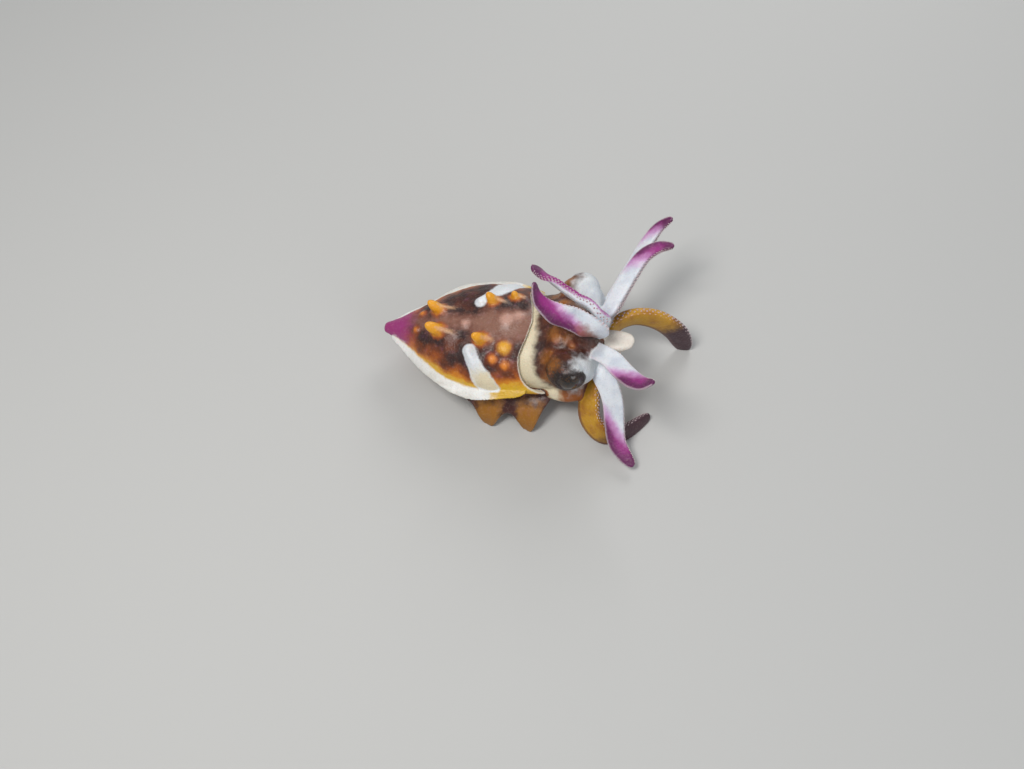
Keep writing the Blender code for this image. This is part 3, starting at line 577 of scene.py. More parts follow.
def widen(fields, name, values):
    """Lets a marking cover what these values cover too."""
    fields[name] = np.maximum(fields.get(name, FAR), values)


def lumps(points, size, seed):
    """Smooth noise from -1 to 1 at the points, with lumps of about this size."""
    flat = points.reshape(-1, 3) / size + seed
    return np.array([noise.noise(Vector(p)) for p in flat]).reshape(points.shape[:-1])


# Mantle


def bar_line(places):
    """The line of a white bar on the mantle."""
    rows = along(places, np.linspace(0, 1, 24))
    return mantle_point(rows[:, 0], np.radians(rows[:, 1]))


def raised(points, normals, distance, radius, height):
    """The points lifted in a rounded mound where the distance is under the radius."""
    share = np.clip(1 - (distance / radius) ** 2, 0, 1)
    return points + normals * (height * share**2)[..., None]


def with_warts(points, normals, base, point, warts, rise, wide, fields):
    """The points with warts raised on them, which also go to their tints' fields."""
    for place, turn, radius, height, tint in warts:
        distance = distance_to(base, (point(place, math.radians(turn)),))
        points = raised(points, normals, distance, radius / MM * 1.9, height * rise)
        widen(fields, tint, radius / MM * wide - distance)
    return points


def flap_rise(points, place, turn, length, height, thickness):
    """How high a flap lifts the skin at the points, its forward direction, its knob in mm, and in mm the
    painted highlight along its ridge.
    """
    base, normal, forward = surface_frame(mantle_point, place, math.radians(turn))
    side = np.cross(normal, forward)
    offset = points - base
    u, v, w = offset @ forward, offset @ side, offset @ normal
    back = -KNOB_BACK * length
    radius = KNOB_WIDE * thickness
    ring = np.hypot((u - back) / (radius * 1.15), v / radius)
    knob = 1.22 * np.clip(1 - ring**2, 0, 1) ** 0.55
    apron = 0.34 * np.clip(1 - (ring / APRON) ** 2, 0, 1) ** 2
    run = np.clip((u - back) / (RIDGE_END * length - back), 0, 1)
    crest = 0.80 * (1 - run) ** 1.3 * smooth(-0.2, 0.1, (u - back) / length)
    half = RIDGE_HALF * (1.0 + 0.3 * run)
    ridge = crest * (0.52 * np.exp(-((v / half) ** 2)) + 0.48 * np.exp(-((v / (2.4 * half)) ** 2)))
    near = w > -2 * thickness
    rise = np.where(near, np.maximum(np.maximum(knob, ridge), apron), 0) * height
    knob_mm = np.where(near, (1.12 - ring) * radius / MM, FAR)
    # The ridge's field marks a painted highlight along the flap's crest
    ridge_highlight_mm = np.where(near, np.minimum(0.50 - np.abs(v) / MM, (crest - 0.22) * 6), FAR)
    ridge_highlight_mm = np.where(u > back + radius * 0.7, ridge_highlight_mm, FAR)
    return rise, forward, knob_mm, ridge_highlight_mm


def add_mantle():
    share, angle, points, normals = surface_grid(mantle_point, MANTLE_LOOPS, MANTLE_SIDES)
    base = points.copy()
    up = np.sin(angle)
    fields = {}
    for places in BARS:
        line = bar_line(places)
        distance = distance_to(base, line)
        half = BAR_HALF_WIDTH / MM
        head = distance_to(base, line[:1])
        tall = BAR_RISE * (0.35 + 1.1 * smooth(8, 0.5, head))
        points = raised(points, normals, distance, half * 1.25, tall)
        bar = half * 0.98 + 1.3 * smooth(4, 13, head) - distance
        widen(fields, "bar", bar)
        if places is BARS[0]:
            fields["cream"] = np.minimum(bar * 3, (head - 8.0) * 0.5)
    points = with_warts(points, normals, base, mantle_point, MANTLE_WARTS, 0.95, 0.9, fields)
    for row in FLAPS:
        rise, forward, knob, ridge = flap_rise(base, *row)
        points = points + normals * rise[..., None] - forward * (FLAP_LEAN * rise)[..., None]
        widen(fields, "knob", knob)
        # The ridge field carries the painted highlight along the flap's crest
        widen(fields, "ridge", ridge)
    lumpy = lumps(base, 0.0050, 3.1) * 0.00035 + lumps(base, 0.0022, 8.7) * 0.00014
    body = smooth(0.10, 0.25, share) * smooth(0.66, 0.60, share)
    points = points + normals * (lumpy * body)[..., None]
    x = base[..., 0] / MM
    side = np.abs(np.where(angle > math.pi * 1.5, angle - 2 * math.pi, angle))
    side = np.minimum(side, np.abs(math.pi - side))
    width = along(MANTLE_RINGS, share)[..., 1] / MM
    inland = side * width * 0.8
    far_side = np.cos(angle) > 0
    flank = np.where(far_side, 6.2, 4.4) - inland - 3.2 * smooth(-6, -17, x)
    fields["flank"] = np.where(up > -0.3, flank, FAR)
    white_end = np.where(far_side, BAR_ENDS[1], BAR_ENDS[-1])
    along_fin = (share > FIN_SPAN[0]) & (share < FIN_SPAN[1])
    fields["fin"] = np.where(along_fin, np.minimum(0.3 - inland * 0.9, (white_end - x) * 0.4), FAR)
    across = (angle - math.radians(97)) * width * 0.8
    half = 3.4 + 3.0 * smooth(2, 12, x) - 2.0 * smooth(-10, -18, x)
    fields["median"] = np.where(up > 0.3, half - np.abs(across), FAR)
    fields["tail"] = -20.5 - x
    fields["belly"] = np.where(up < 0, (-up - 0.58) * 12, FAR)
    under = np.where(up < 0.1, 4.5 - np.abs(-up - 0.18) * 12, FAR)
    fields["saffron"] = np.minimum(under, np.minimum(x - 8.5, 24 - x) * 0.7)
    rim = 1.1 - np.abs(share - RIM_PLACE) * MANTLE_SPANS
    fields["rim"] = np.where(share > RIM_PLACE, 1.2, rim)
    add_form(points, mantle_point(0, 0), mantle_point(1, 0), **fields)


def add_fin(side):
    """A thin rippled fin along one side of the mantle."""
    first, last = FIN_SPAN
    t = np.linspace(0, 1, 160)
    reach = FIN_WIDTH * np.sin(math.pi * np.clip(t, 0.03, 0.97)) ** FIN_FULLNESS
    root = mantle_point(first + (last - first) * t, 0 if side > 0 else math.pi)
    ripple = FIN_RIPPLE * np.sin(2 * math.pi * FIN_RIPPLES * t)
    turn = circle(48)[None, :]
    share = (1 - np.cos(turn)) / 2
    out = (reach + FIN_ROOT_SINK)[:, None] * share - FIN_ROOT_SINK
    lift = (ripple - FIN_DROOP)[:, None] * np.maximum(out, 0) / FIN_WIDTH
    thick = FIN_THICKNESS / 2 * (1.35 - 0.6 * share)
    rings = np.stack((
        np.broadcast_to(root[:, None, 0], out.shape),
        root[:, None, 1] + side * out,
        root[:, None, 2] + thick * np.sin(turn) + lift,
    ), -1)
    x = np.broadcast_to(root[:, None, 0] / MM, out.shape)
    white = np.minimum(out / MM + 0.6, (13.0 - x + 0.8 * np.maximum(out / MM, 0)) * 0.4)
    bar = np.minimum(BAR_END_HALF - np.abs(x - BAR_ENDS[side]), 1.2 - out / MM)
    bar = np.where(np.sin(turn) > 0.1, bar, FAR)
    white = np.maximum(white, np.minimum((BAR_ENDS[side] + 1.0 - x) * 0.5, out / MM + 0.6))
    add_form(rings, fin=white, bar=bar, saffron=(x - 10.0) * 0.35, flank=4.4)


def add_skirt(side):
    """A scalloped fold of skin along the belly's edge, whose two lobes stand on the floor."""
    x = np.linspace(*SKIRT_SPAN, 240)
    reach = SKIRT_REACH * np.sin(math.pi * np.linspace(0.01, 0.99, 240)) ** 0.4
    for middle in LOBES:
        lobe = np.exp(-np.abs((x - middle - LOBE_LEAN) / LOBE_HALF) ** 2.3)
        reach = np.maximum(reach, reach + (1.0 - reach) * lobe)
    turn = circle(72)
    inward = (1 - np.cos(turn)) / 2
    t = reach[:, None] * inward
    path = np.array([(side * y, z) for y, z in LOBE_PATH])
    centre = along(path, t)
    ahead = heading(path, t)
    ruffle = SKIRT_RUFFLE * np.sin(2 * math.pi * x / SKIRT_RUFFLE_LENGTH)[:, None] * smooth(0.1, 0.7, t)
    thick = SKIRT_HALF * (1.0 - 0.35 * t) * np.sin(turn) + ruffle
    y = centre[..., 0] + ahead[..., 1] * thick
    z = centre[..., 1] - ahead[..., 0] * thick
    rings = np.stack((np.broadcast_to(x[:, None], y.shape), y, np.maximum(z, ON_FLOOR)), -1)
    near = np.min([np.abs(x - middle - LOBE_LEAN) for middle in LOBES], axis=0)[:, None] / MM
    lobe = np.minimum((t - 0.30) * 9, 4.6 - near)
    edge = (t - reach[:, None] + 0.05) * 14
    # Dark maroon over the fold: partly its own colour, partly painted shade under the body
    add_form(rings, skirt=4.0, lobe=lobe, yellow=edge)


# Head


def eye_frame(side):
    """The eye's centre, its outward axis, its forward and its upward direction on one side."""
    centre = np.array(EYE_CENTRE) * (1, side, 1)
    axis = unit(np.array(EYE_AXIS) * (1, side, 1))
    fore = unit(np.array((1.0, 0, 0)) - axis * axis[0])
    return centre, axis, fore, np.cross(fore, axis) * side


def add_head():
    share, angle, points, normals = surface_grid(head_point, HEAD_LOOPS, HEAD_SIDES)
    base = points.copy()
    fields = {"head": 4.0}
    points = with_warts(points, normals, base, head_point, HEAD_WARTS, 0.75, 0.8, fields)
    lumpy = lumps(base, 0.0042, 5.3) * 0.00035 + lumps(base, 0.0019, 1.9) * 0.00016
    points = points + normals * (lumpy * smooth(0.30, 0.45, share))[..., None]
    for side in (1, -1):
        centre, axis, fore, up = eye_frame(side)
        ball = centre + axis * EYE_OUT
        outward = points - ball
        away = np.linalg.norm(outward, axis=-1, keepdims=True)
        ahead, above = (outward @ axis)[..., None], (outward @ up)[..., None]
        open_part = (ahead > 0) & (above < EYE_COVER[side])
        sunk, hood = EYE_BALL - EYE_SINK, EYE_BALL + EYE_HOOD
        points = np.where((away < EYE_BALL - EYE_SINK / 2) & open_part, ball + outward / away * sunk, points)
        points = np.where((away < hood) & (ahead > 0) & ~open_part, ball + outward / away * hood, points)
        wide, pale = EYE_RIMS[side]
        rim = wide - away[..., 0] / MM
        widen(fields, "eye_rim", np.where(above[..., 0] < EYE_COVER[side], rim, rim - pale))
    x, y, z = np.moveaxis(base / MM, -1, 0)
    rim_x = (0.0262 + along(RIM_SCALLOP, np.arccos(np.clip(np.sin(angle), -1, 1)) / math.pi)) / MM
    fields["cream"] = 2.4 + 3.0 * smooth(2, -14, y) - (x - rim_x)
    left = y > 0
    y = np.abs(y)
    back = x - np.where(left, 40.5, 42.5)
    inner = (y - np.where(left, 7.0, 12.6)) * 0.8
    below = np.where(left, 9.0, 6.4 - 0.5 * z + 0.853 * y)
    fields["cheek"] = np.min((back, inner, (z - 18.0) * 0.6, below), axis=0)
    for middle, size in CHEEK_BALLS:
        widen(fields, "cheek", size - distance_to(base, (middle,)))
    for place, size in BLOTCHES:
        distance = np.linalg.norm(np.stack((x, y, z), -1) - place, axis=-1)
        widen(fields, "blotch", size - distance)
    fields["jowl"] = 19.0 - z
    # Painted shade darkens the skin between the arms' bases
    fields["brow_shade"] = 9.0 - distance_to(base, (BROW,))
    add_form(points, head_point(0, 0), head_point(1, 0), **fields)


def add_lid(side, **fields):
    """The soft rim of the eye's opening, heaviest over the eye, closed on itself like a ring."""
    centre, axis, fore, up = eye_frame(side)
    middle = centre + axis * (EYE_BULGE * LID_PLACE)
    turn = circle(LID_LOOPS)
    heavy = smooth(-0.2, 1.0, np.sin(turn))
    outward = np.outer(np.cos(turn), fore * LID_LENGTHENED) + np.outer(np.sin(turn), up * LID_SQUASHED)
    ring = middle + outward * (LID_RING - 0.0006 * heavy)[:, None]
    thick = LID_THICKNESS * (0.60 + 0.70 * heavy)
    rings = ellipses(ring, outward * thick[:, None], np.outer(thick, axis), LID_SIDES)
    k, i = np.meshgrid(np.arange(LID_LOOPS), np.arange(LID_SIDES), indexing="ij")
    j, k, m = (i + 1) % LID_SIDES, k * LID_SIDES, (k + 1) % LID_LOOPS * LID_SIDES
    quads = np.stack((k + i, k + j, m + j, m + i), -1).reshape(-1, 4)
    forms.append((rings.reshape(-1, 3), quads.tolist(), field_rows(fields, rings).T))


# Crown

CROWN_OUT = unit(CROWN_AXIS)
CROWN_UP = unit(UP - CROWN_OUT * CROWN_OUT[2])


def arm_root(angle):
    """Where an arm leaves the crown, and the direction from the crown's middle to it."""
    a = math.radians(angle)
    out = LEFT * CROWN_WIDTH * math.sin(a) + CROWN_UP * CROWN_HEIGHT * math.cos(a)
    return np.array(CROWN) + out, unit(out)


def heading(path, share):
    """The direction of a path at shares of it."""
    return unit(along(path, np.minimum(share + STEP, 1)) - along(path, np.maximum(share - STEP, 0)))


def evenly(points, count):
    """Points at even distances along the smooth curve through the given ones."""
    dense = along(points, np.linspace(0, 1, 10 * count + 1))
    run = np.concatenate(((0,), np.cumsum(np.linalg.norm(np.diff(dense, axis=0), axis=1))))
    marks = np.linspace(0, run[-1], count)
    return np.stack([np.interp(marks, run, dense[:, axis]) for axis in range(3)], axis=1)


def arm_of(row):
    """An arm's even path, the direction it leaves in, its roll, depth share and bluntness."""
    _, angle, roll, share, bluntness, points = row
    root, radial = arm_root(angle)
    inner = root - unit(CROWN_OUT + radial * ROOT_SPLAY) * ROOT_SINK
    return evenly((inner, root, *(np.array(points) / 10000)), 40), radial, roll, share, bluntness


def arm_frames(arm, t):
    """Centres, directions, the way the suckers face and the direction across, at shares of the arm."""
    path, radial, roll = arm[:3]
    tangent = heading(path, t)
    axis = np.cross(CROWN_OUT, tangent)
    sine = np.linalg.norm(axis, axis=-1, keepdims=True)
    cosine = (tangent @ CROWN_OUT)[:, None]
    axis = axis / np.maximum(sine, 1e-9)
    vector = -radial[None, :] + 0 * tangent
    across = np.cross(axis, vector)
    facing = vector * cosine + across * sine + axis * (axis * vector).sum(-1, keepdims=True) * (1 - cosine)
    facing = unit(facing - tangent * (facing * tangent).sum(-1, keepdims=True))
    across = np.cross(tangent, facing)
    a = (math.radians(roll) * np.minimum(t / ROLL_END, 1.0))[:, None]
    facing = facing * np.cos(a) + across * np.sin(a)
    return along(path, t), tangent, facing, np.cross(tangent, facing)


def arm_sizes(arm, t):
    """Half depths and half thicknesses of an arm at shares of its length."""
    share, bluntness = arm[3:]
    taper = np.sqrt(np.maximum(1 - t**bluntness, 0.0))
    root = 1 - ROOT_NARROWING * np.maximum(1 - t / ROOT_NARROW_END, 0.0) ** 2
    depth = ARM_HALF_DEPTH * share * root * (ARM_TIP_DEPTH + (1 - ARM_TIP_DEPTH) * taper)
    thickness = ARM_HALF_THICKNESS * (1 - ARM_THINNING * t)
    return depth, thickness * (ARM_TIP_THICKNESS + (1 - ARM_TIP_THICKNESS) * taper)


def add_arm(row):
    """One arm as a closed blade with its own markings."""
    arm = arm_of(row)
    name = row[0]
    t = np.sin(np.linspace(0, math.pi / 2, ARM_LOOPS)) ** 1.15
    centre, tangent, facing, across = arm_frames(arm, t)
    depth, thick = arm_sizes(arm, t)
    d, w = along((*ARM_SECTION, ARM_SECTION[0]), np.arange(ARM_SIDES) / ARM_SIDES).T
    rings = (
        centre[:, None]
        + facing[:, None] * (depth[:, None] * d)[..., None]
        + across[:, None] * (thick[:, None] * w)[..., None]
    )
    rings[..., 2] = np.maximum(rings[..., 2], ON_FLOOR)
    end = rings[-1].mean(0) + tangent[-1] * 0.0004
    length = np.linalg.norm(np.diff(arm[0], axis=0), axis=1).sum() / MM
    run, deep = t[:, None], depth[:, None] / MM
    if name.endswith("4"):
        # Lower arms: a dark line of painted shade along the under edge
        fields = {"amber": 4.0, "dusk": (run - 0.64) * length, "edge_shade": (-d - 0.60) * deep + 0.2}
    else:
        start, keel, face, dark = MAGENTA[name]
        magenta = (run - start) * length - keel * d + face * w
        purple = np.maximum((run - 0.93) * length, np.minimum(magenta - 4.0, (-d - 0.45) * deep * 1.2))
        # The keel field paints a pale sheen line along the arm's outer edge
        fields = {"arm": 4.0, "keel": 1.0 - (d + 1.0) * deep, "magenta": magenta, "purple": purple}
        # A dark line of painted shade along the suckers' edge
        if dark:
            fields["edge_shade"] = (d - 0.80) * deep + 0.2
    if name[-1] in "23":
        fields["cheek"] = (0.35 - run) * length * 0.5
    if name == "arm_right_1":
        fields["shade"] = np.minimum((0.46 - run) * length * 0.6, (-d + 0.05) * 4)
    add_form(rings, None, end, **fields)


def add_small_parts():
    """Funnel, lips and the clubs of the feeding tentacles."""
    t = np.linspace(0, 1, 60)
    centre = along(FUNNEL_PATH, t)
    wide = FUNNEL_ROOT[0] * (1 - t) + FUNNEL_END[0] * t
    tall = FUNNEL_ROOT[1] * (1 - t) + FUNNEL_END[1] * t
    rings = ellipses(centre, np.outer(wide, LEFT), np.outer(tall, UP), 48)
    mouth, rim = centre[-1], rings[-1]
    inner = [(rim - mouth) * share + mouth + np.array((deep, 0, 0)) for deep, share in FUNNEL_HOLLOW]
    add_form(np.concatenate((rings, inner)), None, mouth - np.array((0.0040, 0, 0)), jowl=3.0)
    forward, size = along(LIP_LOOPS, np.linspace(0, 1, 24)).T
    rounds = ellipses(np.zeros((24, 3)), np.outer(size, LEFT), np.outer(size, CROWN_UP), 40)
    lips = (np.array(MOUTH_CENTRE) + np.outer(forward, CROWN_OUT))[:, None] + rounds
    add_form(lips, None, np.array(MOUTH_CENTRE) + CROWN_OUT * 0.0016, club=1.0)
    for *path, broad in CLUBS:
        t = np.linspace(0, 1, 50)
        swell = CLUB_STALK + (1 - CLUB_STALK) * np.sin(math.pi / 2 * np.minimum(t / CLUB_FULL, 1)) ** 2
        swell = swell * np.sqrt(np.maximum(1 - t**5, 0.02))
        wide, tall = broad * swell, CLUB_HALF_HEIGHT * np.sqrt(swell)
        add_form(ellipses(along(path, t), np.outer(wide, LEFT), np.outer(tall, UP), 40), club=4.0)


def add_web(first, second, reach):
    """A web of skin between the bases of two arms, hollowed in the middle."""
    one, two = (arm_of(next(row for row in ARMS if row[0] == name))[0] for name in (first, second))
    across = np.mean(two[:8] - one[:8], axis=0)
    rings = []
    turn = circle(40)
    for u in np.linspace(0, 1, 40):
        far = reach * (1 - WEB_HOLLOW * math.sin(math.pi * u) ** 0.8)
        run = WEB_START + (far - WEB_START) * (1 - np.cos(turn)) / 2
        place = along(one, run) * (1 - u) + along(two, run) * u
        flow = along(one, run + STEP) * (1 - u) + along(two, run + STEP) * u - place
        normal = unit(np.cross(flow, across))
        rings.append(place + normal * (WEB_HALF * np.sin(turn))[:, None])
    add_form(np.array(rings), arm=4.0)


def make_forms():
    add_mantle()
    for add in (add_fin, add_skirt):
        for side in (1, -1):
            add(side)
    add_head()
    add_lid(1, head=4.0, cheek=3.0)
    add_lid(-1, head=4.0, eye_rim=2.0)
    for row in ARMS:
        add_arm(row)
    add_small_parts()
    for web in WEBS:
        add_web(*web)


def mesh_of(name, points, faces):
    """A mesh in the world's frame from points of the animal's."""
    made = bpy.data.meshes.new(name)
    made.from_pydata((points - MODEL_CENTRE).tolist(), [], faces)
    return made


def carry(made, name, values):
    """Gives a mesh's points an attribute, of one number each or of three."""
    kind, key = ("FLOAT_VECTOR", "vector") if np.ndim(values) == 2 else ("FLOAT", "value")
    values = np.ascontiguousarray(values, np.float32).reshape(-1)
    made.attributes.new(name, kind, "POINT").data.foreach_set(key, values)


def placed(name, data):
    """A new object in the scene."""
    made = bpy.data.objects.new(name, data)
    bpy.context.scene.collection.objects.link(made)
    return made


def shown(name, made, skin):
    """An object of the mesh, in this skin, that rides on the model's body."""
    piece = placed(name, made)
    made.materials.append(skin)
    made.shade_smooth()
    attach(piece, "root")
    return piece


def evaluated(piece):
    """The mesh of an object with its modifiers applied."""
    graph = bpy.context.evaluated_depsgraph_get()
    return bpy.data.meshes.new_from_object(piece.evaluated_get(graph))


def points_and_edges(made):
    """A mesh's points, and the two ends of each of its edges."""
    places = np.empty(len(made.vertices) * 3, np.float32)
    made.vertices.foreach_get("co", places)
    ends = np.empty(len(made.edges) * 2, np.int32)
    made.edges.foreach_get("vertices", ends)
    return places.reshape(-1, 3).astype(float), ends.reshape(-1, 2)


def relaxed(values, ends, weight, times=1):
    """Each row moved this share of the way to the mean of its neighbours."""
    count = len(values)
    degree = np.maximum(np.bincount(ends.reshape(-1), minlength=count), 1)
    for _ in range(times):
        total = np.empty_like(values)
        for column in range(values.shape[1]):
            first = np.bincount(ends[:, 0], values[ends[:, 1], column], count)
            second = np.bincount(ends[:, 1], values[ends[:, 0], column], count)
            total[:, column] = (first + second) / degree
        values = values + (total - values) * weight
    return values


def creases(made, places, ends):
    """How far each point lies in from the mean of its neighbours, in mm."""
    normals = np.empty(len(places) * 3, np.float32)
    made.vertices.foreach_get("normal", normals)
    mean = relaxed(places, ends, 1.0) - places
    return (mean * normals.reshape(-1, 3)).sum(1, keepdims=True) / MM


def make_skin(skin):
    """One skin over all the forms, with their markings carried as attributes."""
    points, faces, values, count = [], [], [], 0
    for form_points, form_faces, form_values in forms:
        points.append(form_points)
        faces += [[corner + count for corner in face] for face in form_faces]
        values.append(form_values)
        count += len(form_points)
    points, values = np.vstack(points), np.vstack(values)
    soup = placed("soup", mesh_of("soup", points, faces))
    remesh = soup.modifiers.new("skin", "REMESH")
    remesh.mode = "VOXEL"
    remesh.voxel_size = VOXEL
    remesh.adaptivity = 0
    made = evaluated(soup)
    soup.modifiers.clear()
    places, ends = points_and_edges(made)
    for _ in range(SMOOTHINGS):
        for weight in SMOOTHING:
            places = relaxed(places, ends, weight)
    made.vertices.foreach_set("co", places.reshape(-1).astype(np.float32))
    made.update()
    filled = relaxed(smooth(*CREASE, creases(made, places, ends)), ends, SOFTENING, CREASE_SPREADS)
    filled = np.minimum(filled * CREASE_GAIN, 1)
    for _ in range(FILLINGS):
        places += (relaxed(places, ends, FILLING) - places) * filled
    places[:, 2] = np.maximum(places[:, 2], 0)
    made.vertices.foreach_set("co", places.reshape(-1).astype(np.float32))
    soup.data = made
    total = 2 * len(made.polygons)
    if total > SKIN_TRIANGLES:
        less = soup.modifiers.new("less", "DECIMATE")
        less.ratio = SKIN_TRIANGLES / total
    made = evaluated(soup)
    bpy.data.objects.remove(soup)
    tree = kdtree.KDTree(len(points))
    for i, place in enumerate(points - MODEL_CENTRE):
        tree.insert(place, i)
    tree.balance()
    places, ends = points_and_edges(made)
    fields = np.empty((len(places), len(FIELDS)))
    for i, place in enumerate(places):
        found = tree.find_n(place, NEAREST)
        index = [hit[1] for hit in found]
        weight = 1 / (np.array([hit[2] for hit in found]) + NEAR)
        fields[i] = weight @ values[index] / weight.sum()
    fields = relaxed(fields, ends, 0.5, FIELD_SPREADS)
    soft = [FIELDS.index(name) for name in SOFT_FIELDS]
    fields[:, soft] = relaxed(fields[:, soft], ends, SOFTENING, SOFT_SPREADS)
    for name, column in zip(FIELDS, fields.T):
        carry(made, name, column)
    made.name = "skin"
    return shown("skin", made, skin)


# Materials


def linear(red, green, blue):
    """A colour given as 0 to 255 on a screen, as light."""
    steps = [c / 255 for c in (red, green, blue)]
    return (*(c / 12.92 if c <= 0.04045 else ((c + 0.055) / 1.055) ** 2.4 for c in steps), 1)


def fill(tree, made, inputs):
    """Sets a node's inputs, given by name or number, or links them."""
    for name, value in inputs.items():
        if isinstance(value, bpy.types.NodeSocket):
            tree.links.new(value, made.inputs[name])
        else:
            made.inputs[name].default_value = value


def node(tree, kind, inputs, **settings):
    """A node with its settings and inputs."""
    made = tree.nodes.new(kind)
    for name, value in settings.items():
        setattr(made, name, value)
    fill(tree, made, inputs)
    return made


def sums(tree, operation, *terms):
    return node(tree, "ShaderNodeMath", dict(enumerate(terms)), operation=operation).outputs[0]


def ranged(tree, value, low, high, first, last, **settings):
    """From first to last while the value goes from low to high."""
    inputs = dict(enumerate((value, low, high, first, last)))
    return node(tree, "ShaderNodeMapRange", inputs, **settings).outputs[0]


def noise_of(tree, place, scale, detail=3.0):
    """Noise from -1 to 1 with this many lumps to a metre."""
    made = node(tree, "ShaderNodeTexNoise", {"Vector": place, "Scale": scale, "Detail": detail})
    return ranged(tree, made.outputs["Fac"], 0.25, 0.75, -1.0, 1.0)


def mixed(tree, share, first, second):
    """A colour this share of the way from the first to the second."""
    return node(tree, "ShaderNodeMix", {0: share, 6: first, 7: second}, data_type="RGBA").outputs[2]


def carried(tree, name, output):
    """What a mesh carries under this name."""
    settings = {"attribute_name": name, "attribute_type": "GEOMETRY"}
    return node(tree, "ShaderNodeAttribute", {}, **settings).outputs[output]


def field_share(tree, name, low, high, wobble, ragged, top=1.0):
    """0 to top across a marking's border, made ragged by a noise."""
    shifted = sums(tree, "MULTIPLY_ADD", wobble, ragged, carried(tree, name, "Fac"))
    return ranged(tree, shifted, low, high, 0.0, top, interpolation_type="SMOOTHSTEP")


def new_material(name):
    """A material with its nodes and its shader."""
    made = bpy.data.materials.new(name)
    made.use_nodes = True
    return made, made.node_tree, made.node_tree.nodes["Principled BSDF"]


def skin_material():
    made, tree, shader = new_material("living_skin")
    place = node(tree, "ShaderNodeTexCoord", {}).outputs["Object"]
    noises = {scale: noise_of(tree, place, scale) for scale in (COARSE, MIDDLE, FINE)}
    patch = ranged(tree, noises[COARSE], -0.2, 0.8, 0.0, 0.75)
    colour = mixed(tree, patch, linear(42, 15, 12), linear(104, 45, 17))
    for name, low, high, scale, ragged, tint, strength in MARKINGS:
        share = field_share(tree, name, low, high, noises[scale], ragged, strength)
        colour = mixed(tree, share, colour, linear(*tint))
    cells = node(tree, "ShaderNodeTexVoronoi", {"Vector": place, "Scale": 1500.0}).outputs["Distance"]
    colour = mixed(tree, ranged(tree, cells, 0.12, 0.38, 0.15, 0.0), colour, linear(96, 40, 44))
    # Sparse pale flecks: painted glints of the skin's reflecting cells
    colour = mixed(tree, ranged(tree, noises[FINE], 0.2, 1.0, 0.0, 0.07), colour, linear(244, 222, 200))
    grain = sums(tree, "MULTIPLY_ADD", cells, -0.8, noises[FINE])
    bump = node(tree, "ShaderNodeBump", {"Height": grain, "Strength": 0.30, "Distance": 0.0002})
    fill(tree, shader, {
        "Base Color": colour,
        "Roughness": ranged(tree, noises[MIDDLE], -1.0, 1.0, 0.38, 0.52),
        "Subsurface Weight": 0.10,
        "Subsurface Radius": (1.0, 0.45, 0.3),
        "Subsurface Scale": 0.0012,
        "Coat Weight": 0.15,
        "Coat Roughness": 0.26,
        "Normal": bump.outputs[0],
    })
    return made


def plain_material(name, colour, roughness, coat=0.0):
    made, tree, shader = new_material(name)
    fill(tree, shader, {"Base Color": colour, "Roughness": roughness, "Coat Weight": coat})
    return made


def eye_material():
    """A dark, gold-flecked iris with a W-shaped pupil under a wet clear front."""
    made, tree, shader = new_material("wet_eye")
    spot = carried(tree, "eye_place", "Vector")
    parts = node(tree, "ShaderNodeSeparateXYZ", {0: spot}).outputs
    aside = sums(tree, "ABSOLUTE", parts[0])
    gold = ranged(tree, noise_of(tree, spot, 1.6, 6.0), 0.0, 0.9, 0.0, 0.75)
    colour = mixed(tree, gold, linear(30, 20, 16), linear(112, 74, 30))
    folded = sums(tree, "ABSOLUTE", sums(tree, "SUBTRACT", aside, PUPIL_FOLD))
    middle = sums(tree, "SUBTRACT", sums(tree, "MULTIPLY", folded, PUPIL_SLOPE), PUPIL_DROP)
    away = sums(tree, "ABSOLUTE", sums(tree, "SUBTRACT", parts[1], middle))
    thin = ranged(tree, away, *PUPIL_HALF, 1.0, 0.0)
    pupil = sums(tree, "MULTIPLY", thin, ranged(tree, aside, *PUPIL_ENDS, 1.0, 0.0))
    colour = mixed(tree, pupil, colour, linear(6, 6, 8))
    fill(tree, shader, {"Base Color": colour, "Roughness": 0.26, "Coat Weight": 0.5, "Coat Roughness": 0.06})
    return made


# Eyes


def add_eye(name, side, skin):
    """A whole eyeball, which carries each point's place in the eye's own frame in mm."""
    centre, axis, fore, up = eye_frame(side)
    middle = centre + axis * EYE_OUT
    polar = np.linspace(0, math.pi, EYE_ROWS + 1)[1:-1]
    size = EYE_BALL * np.sin(polar)
    centres = middle + np.outer(EYE_BALL * np.cos(polar), axis)
    rings = ellipses(centres, np.outer(size, fore), np.outer(size, up * side), EYE_SIDES)
    points = np.vstack((middle + axis * EYE_BALL, rings.reshape(-1, 3), middle - axis * EYE_BALL))
    mesh = mesh_of(name, points, ring_faces(*rings.shape[:2]))
    offset = (points - middle) / MM
    carry(mesh, "eye_place", np.stack((offset @ fore, offset @ up, offset @ axis), -1))
    eye = shown(name, mesh, skin)
    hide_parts(name)


# Suckers


def sucker_cup():
    """One small cup, as a mesh, with a field that is 0 in its middle and 1 on its rim."""
    turn = circle(SUCKER_SIDES)
    rings, tint = [(0, 0, -0.6)], [0.5]
    for rise, wide, value in SUCKER_LOOPS:
        rings.append(np.stack((wide * np.cos(turn), wide * np.sin(turn), 0 * turn + rise), -1))
        tint += [value] * SUCKER_SIDES
    points = np.vstack((*rings, (0, 0, 0.25)))
    made = bpy.data.meshes.new("sucker_cup")
    made.from_pydata(points.tolist(), [], ring_faces(len(SUCKER_LOOPS), SUCKER_SIDES))
    carry(made, "cup", [*tint, 0.0])
    return made


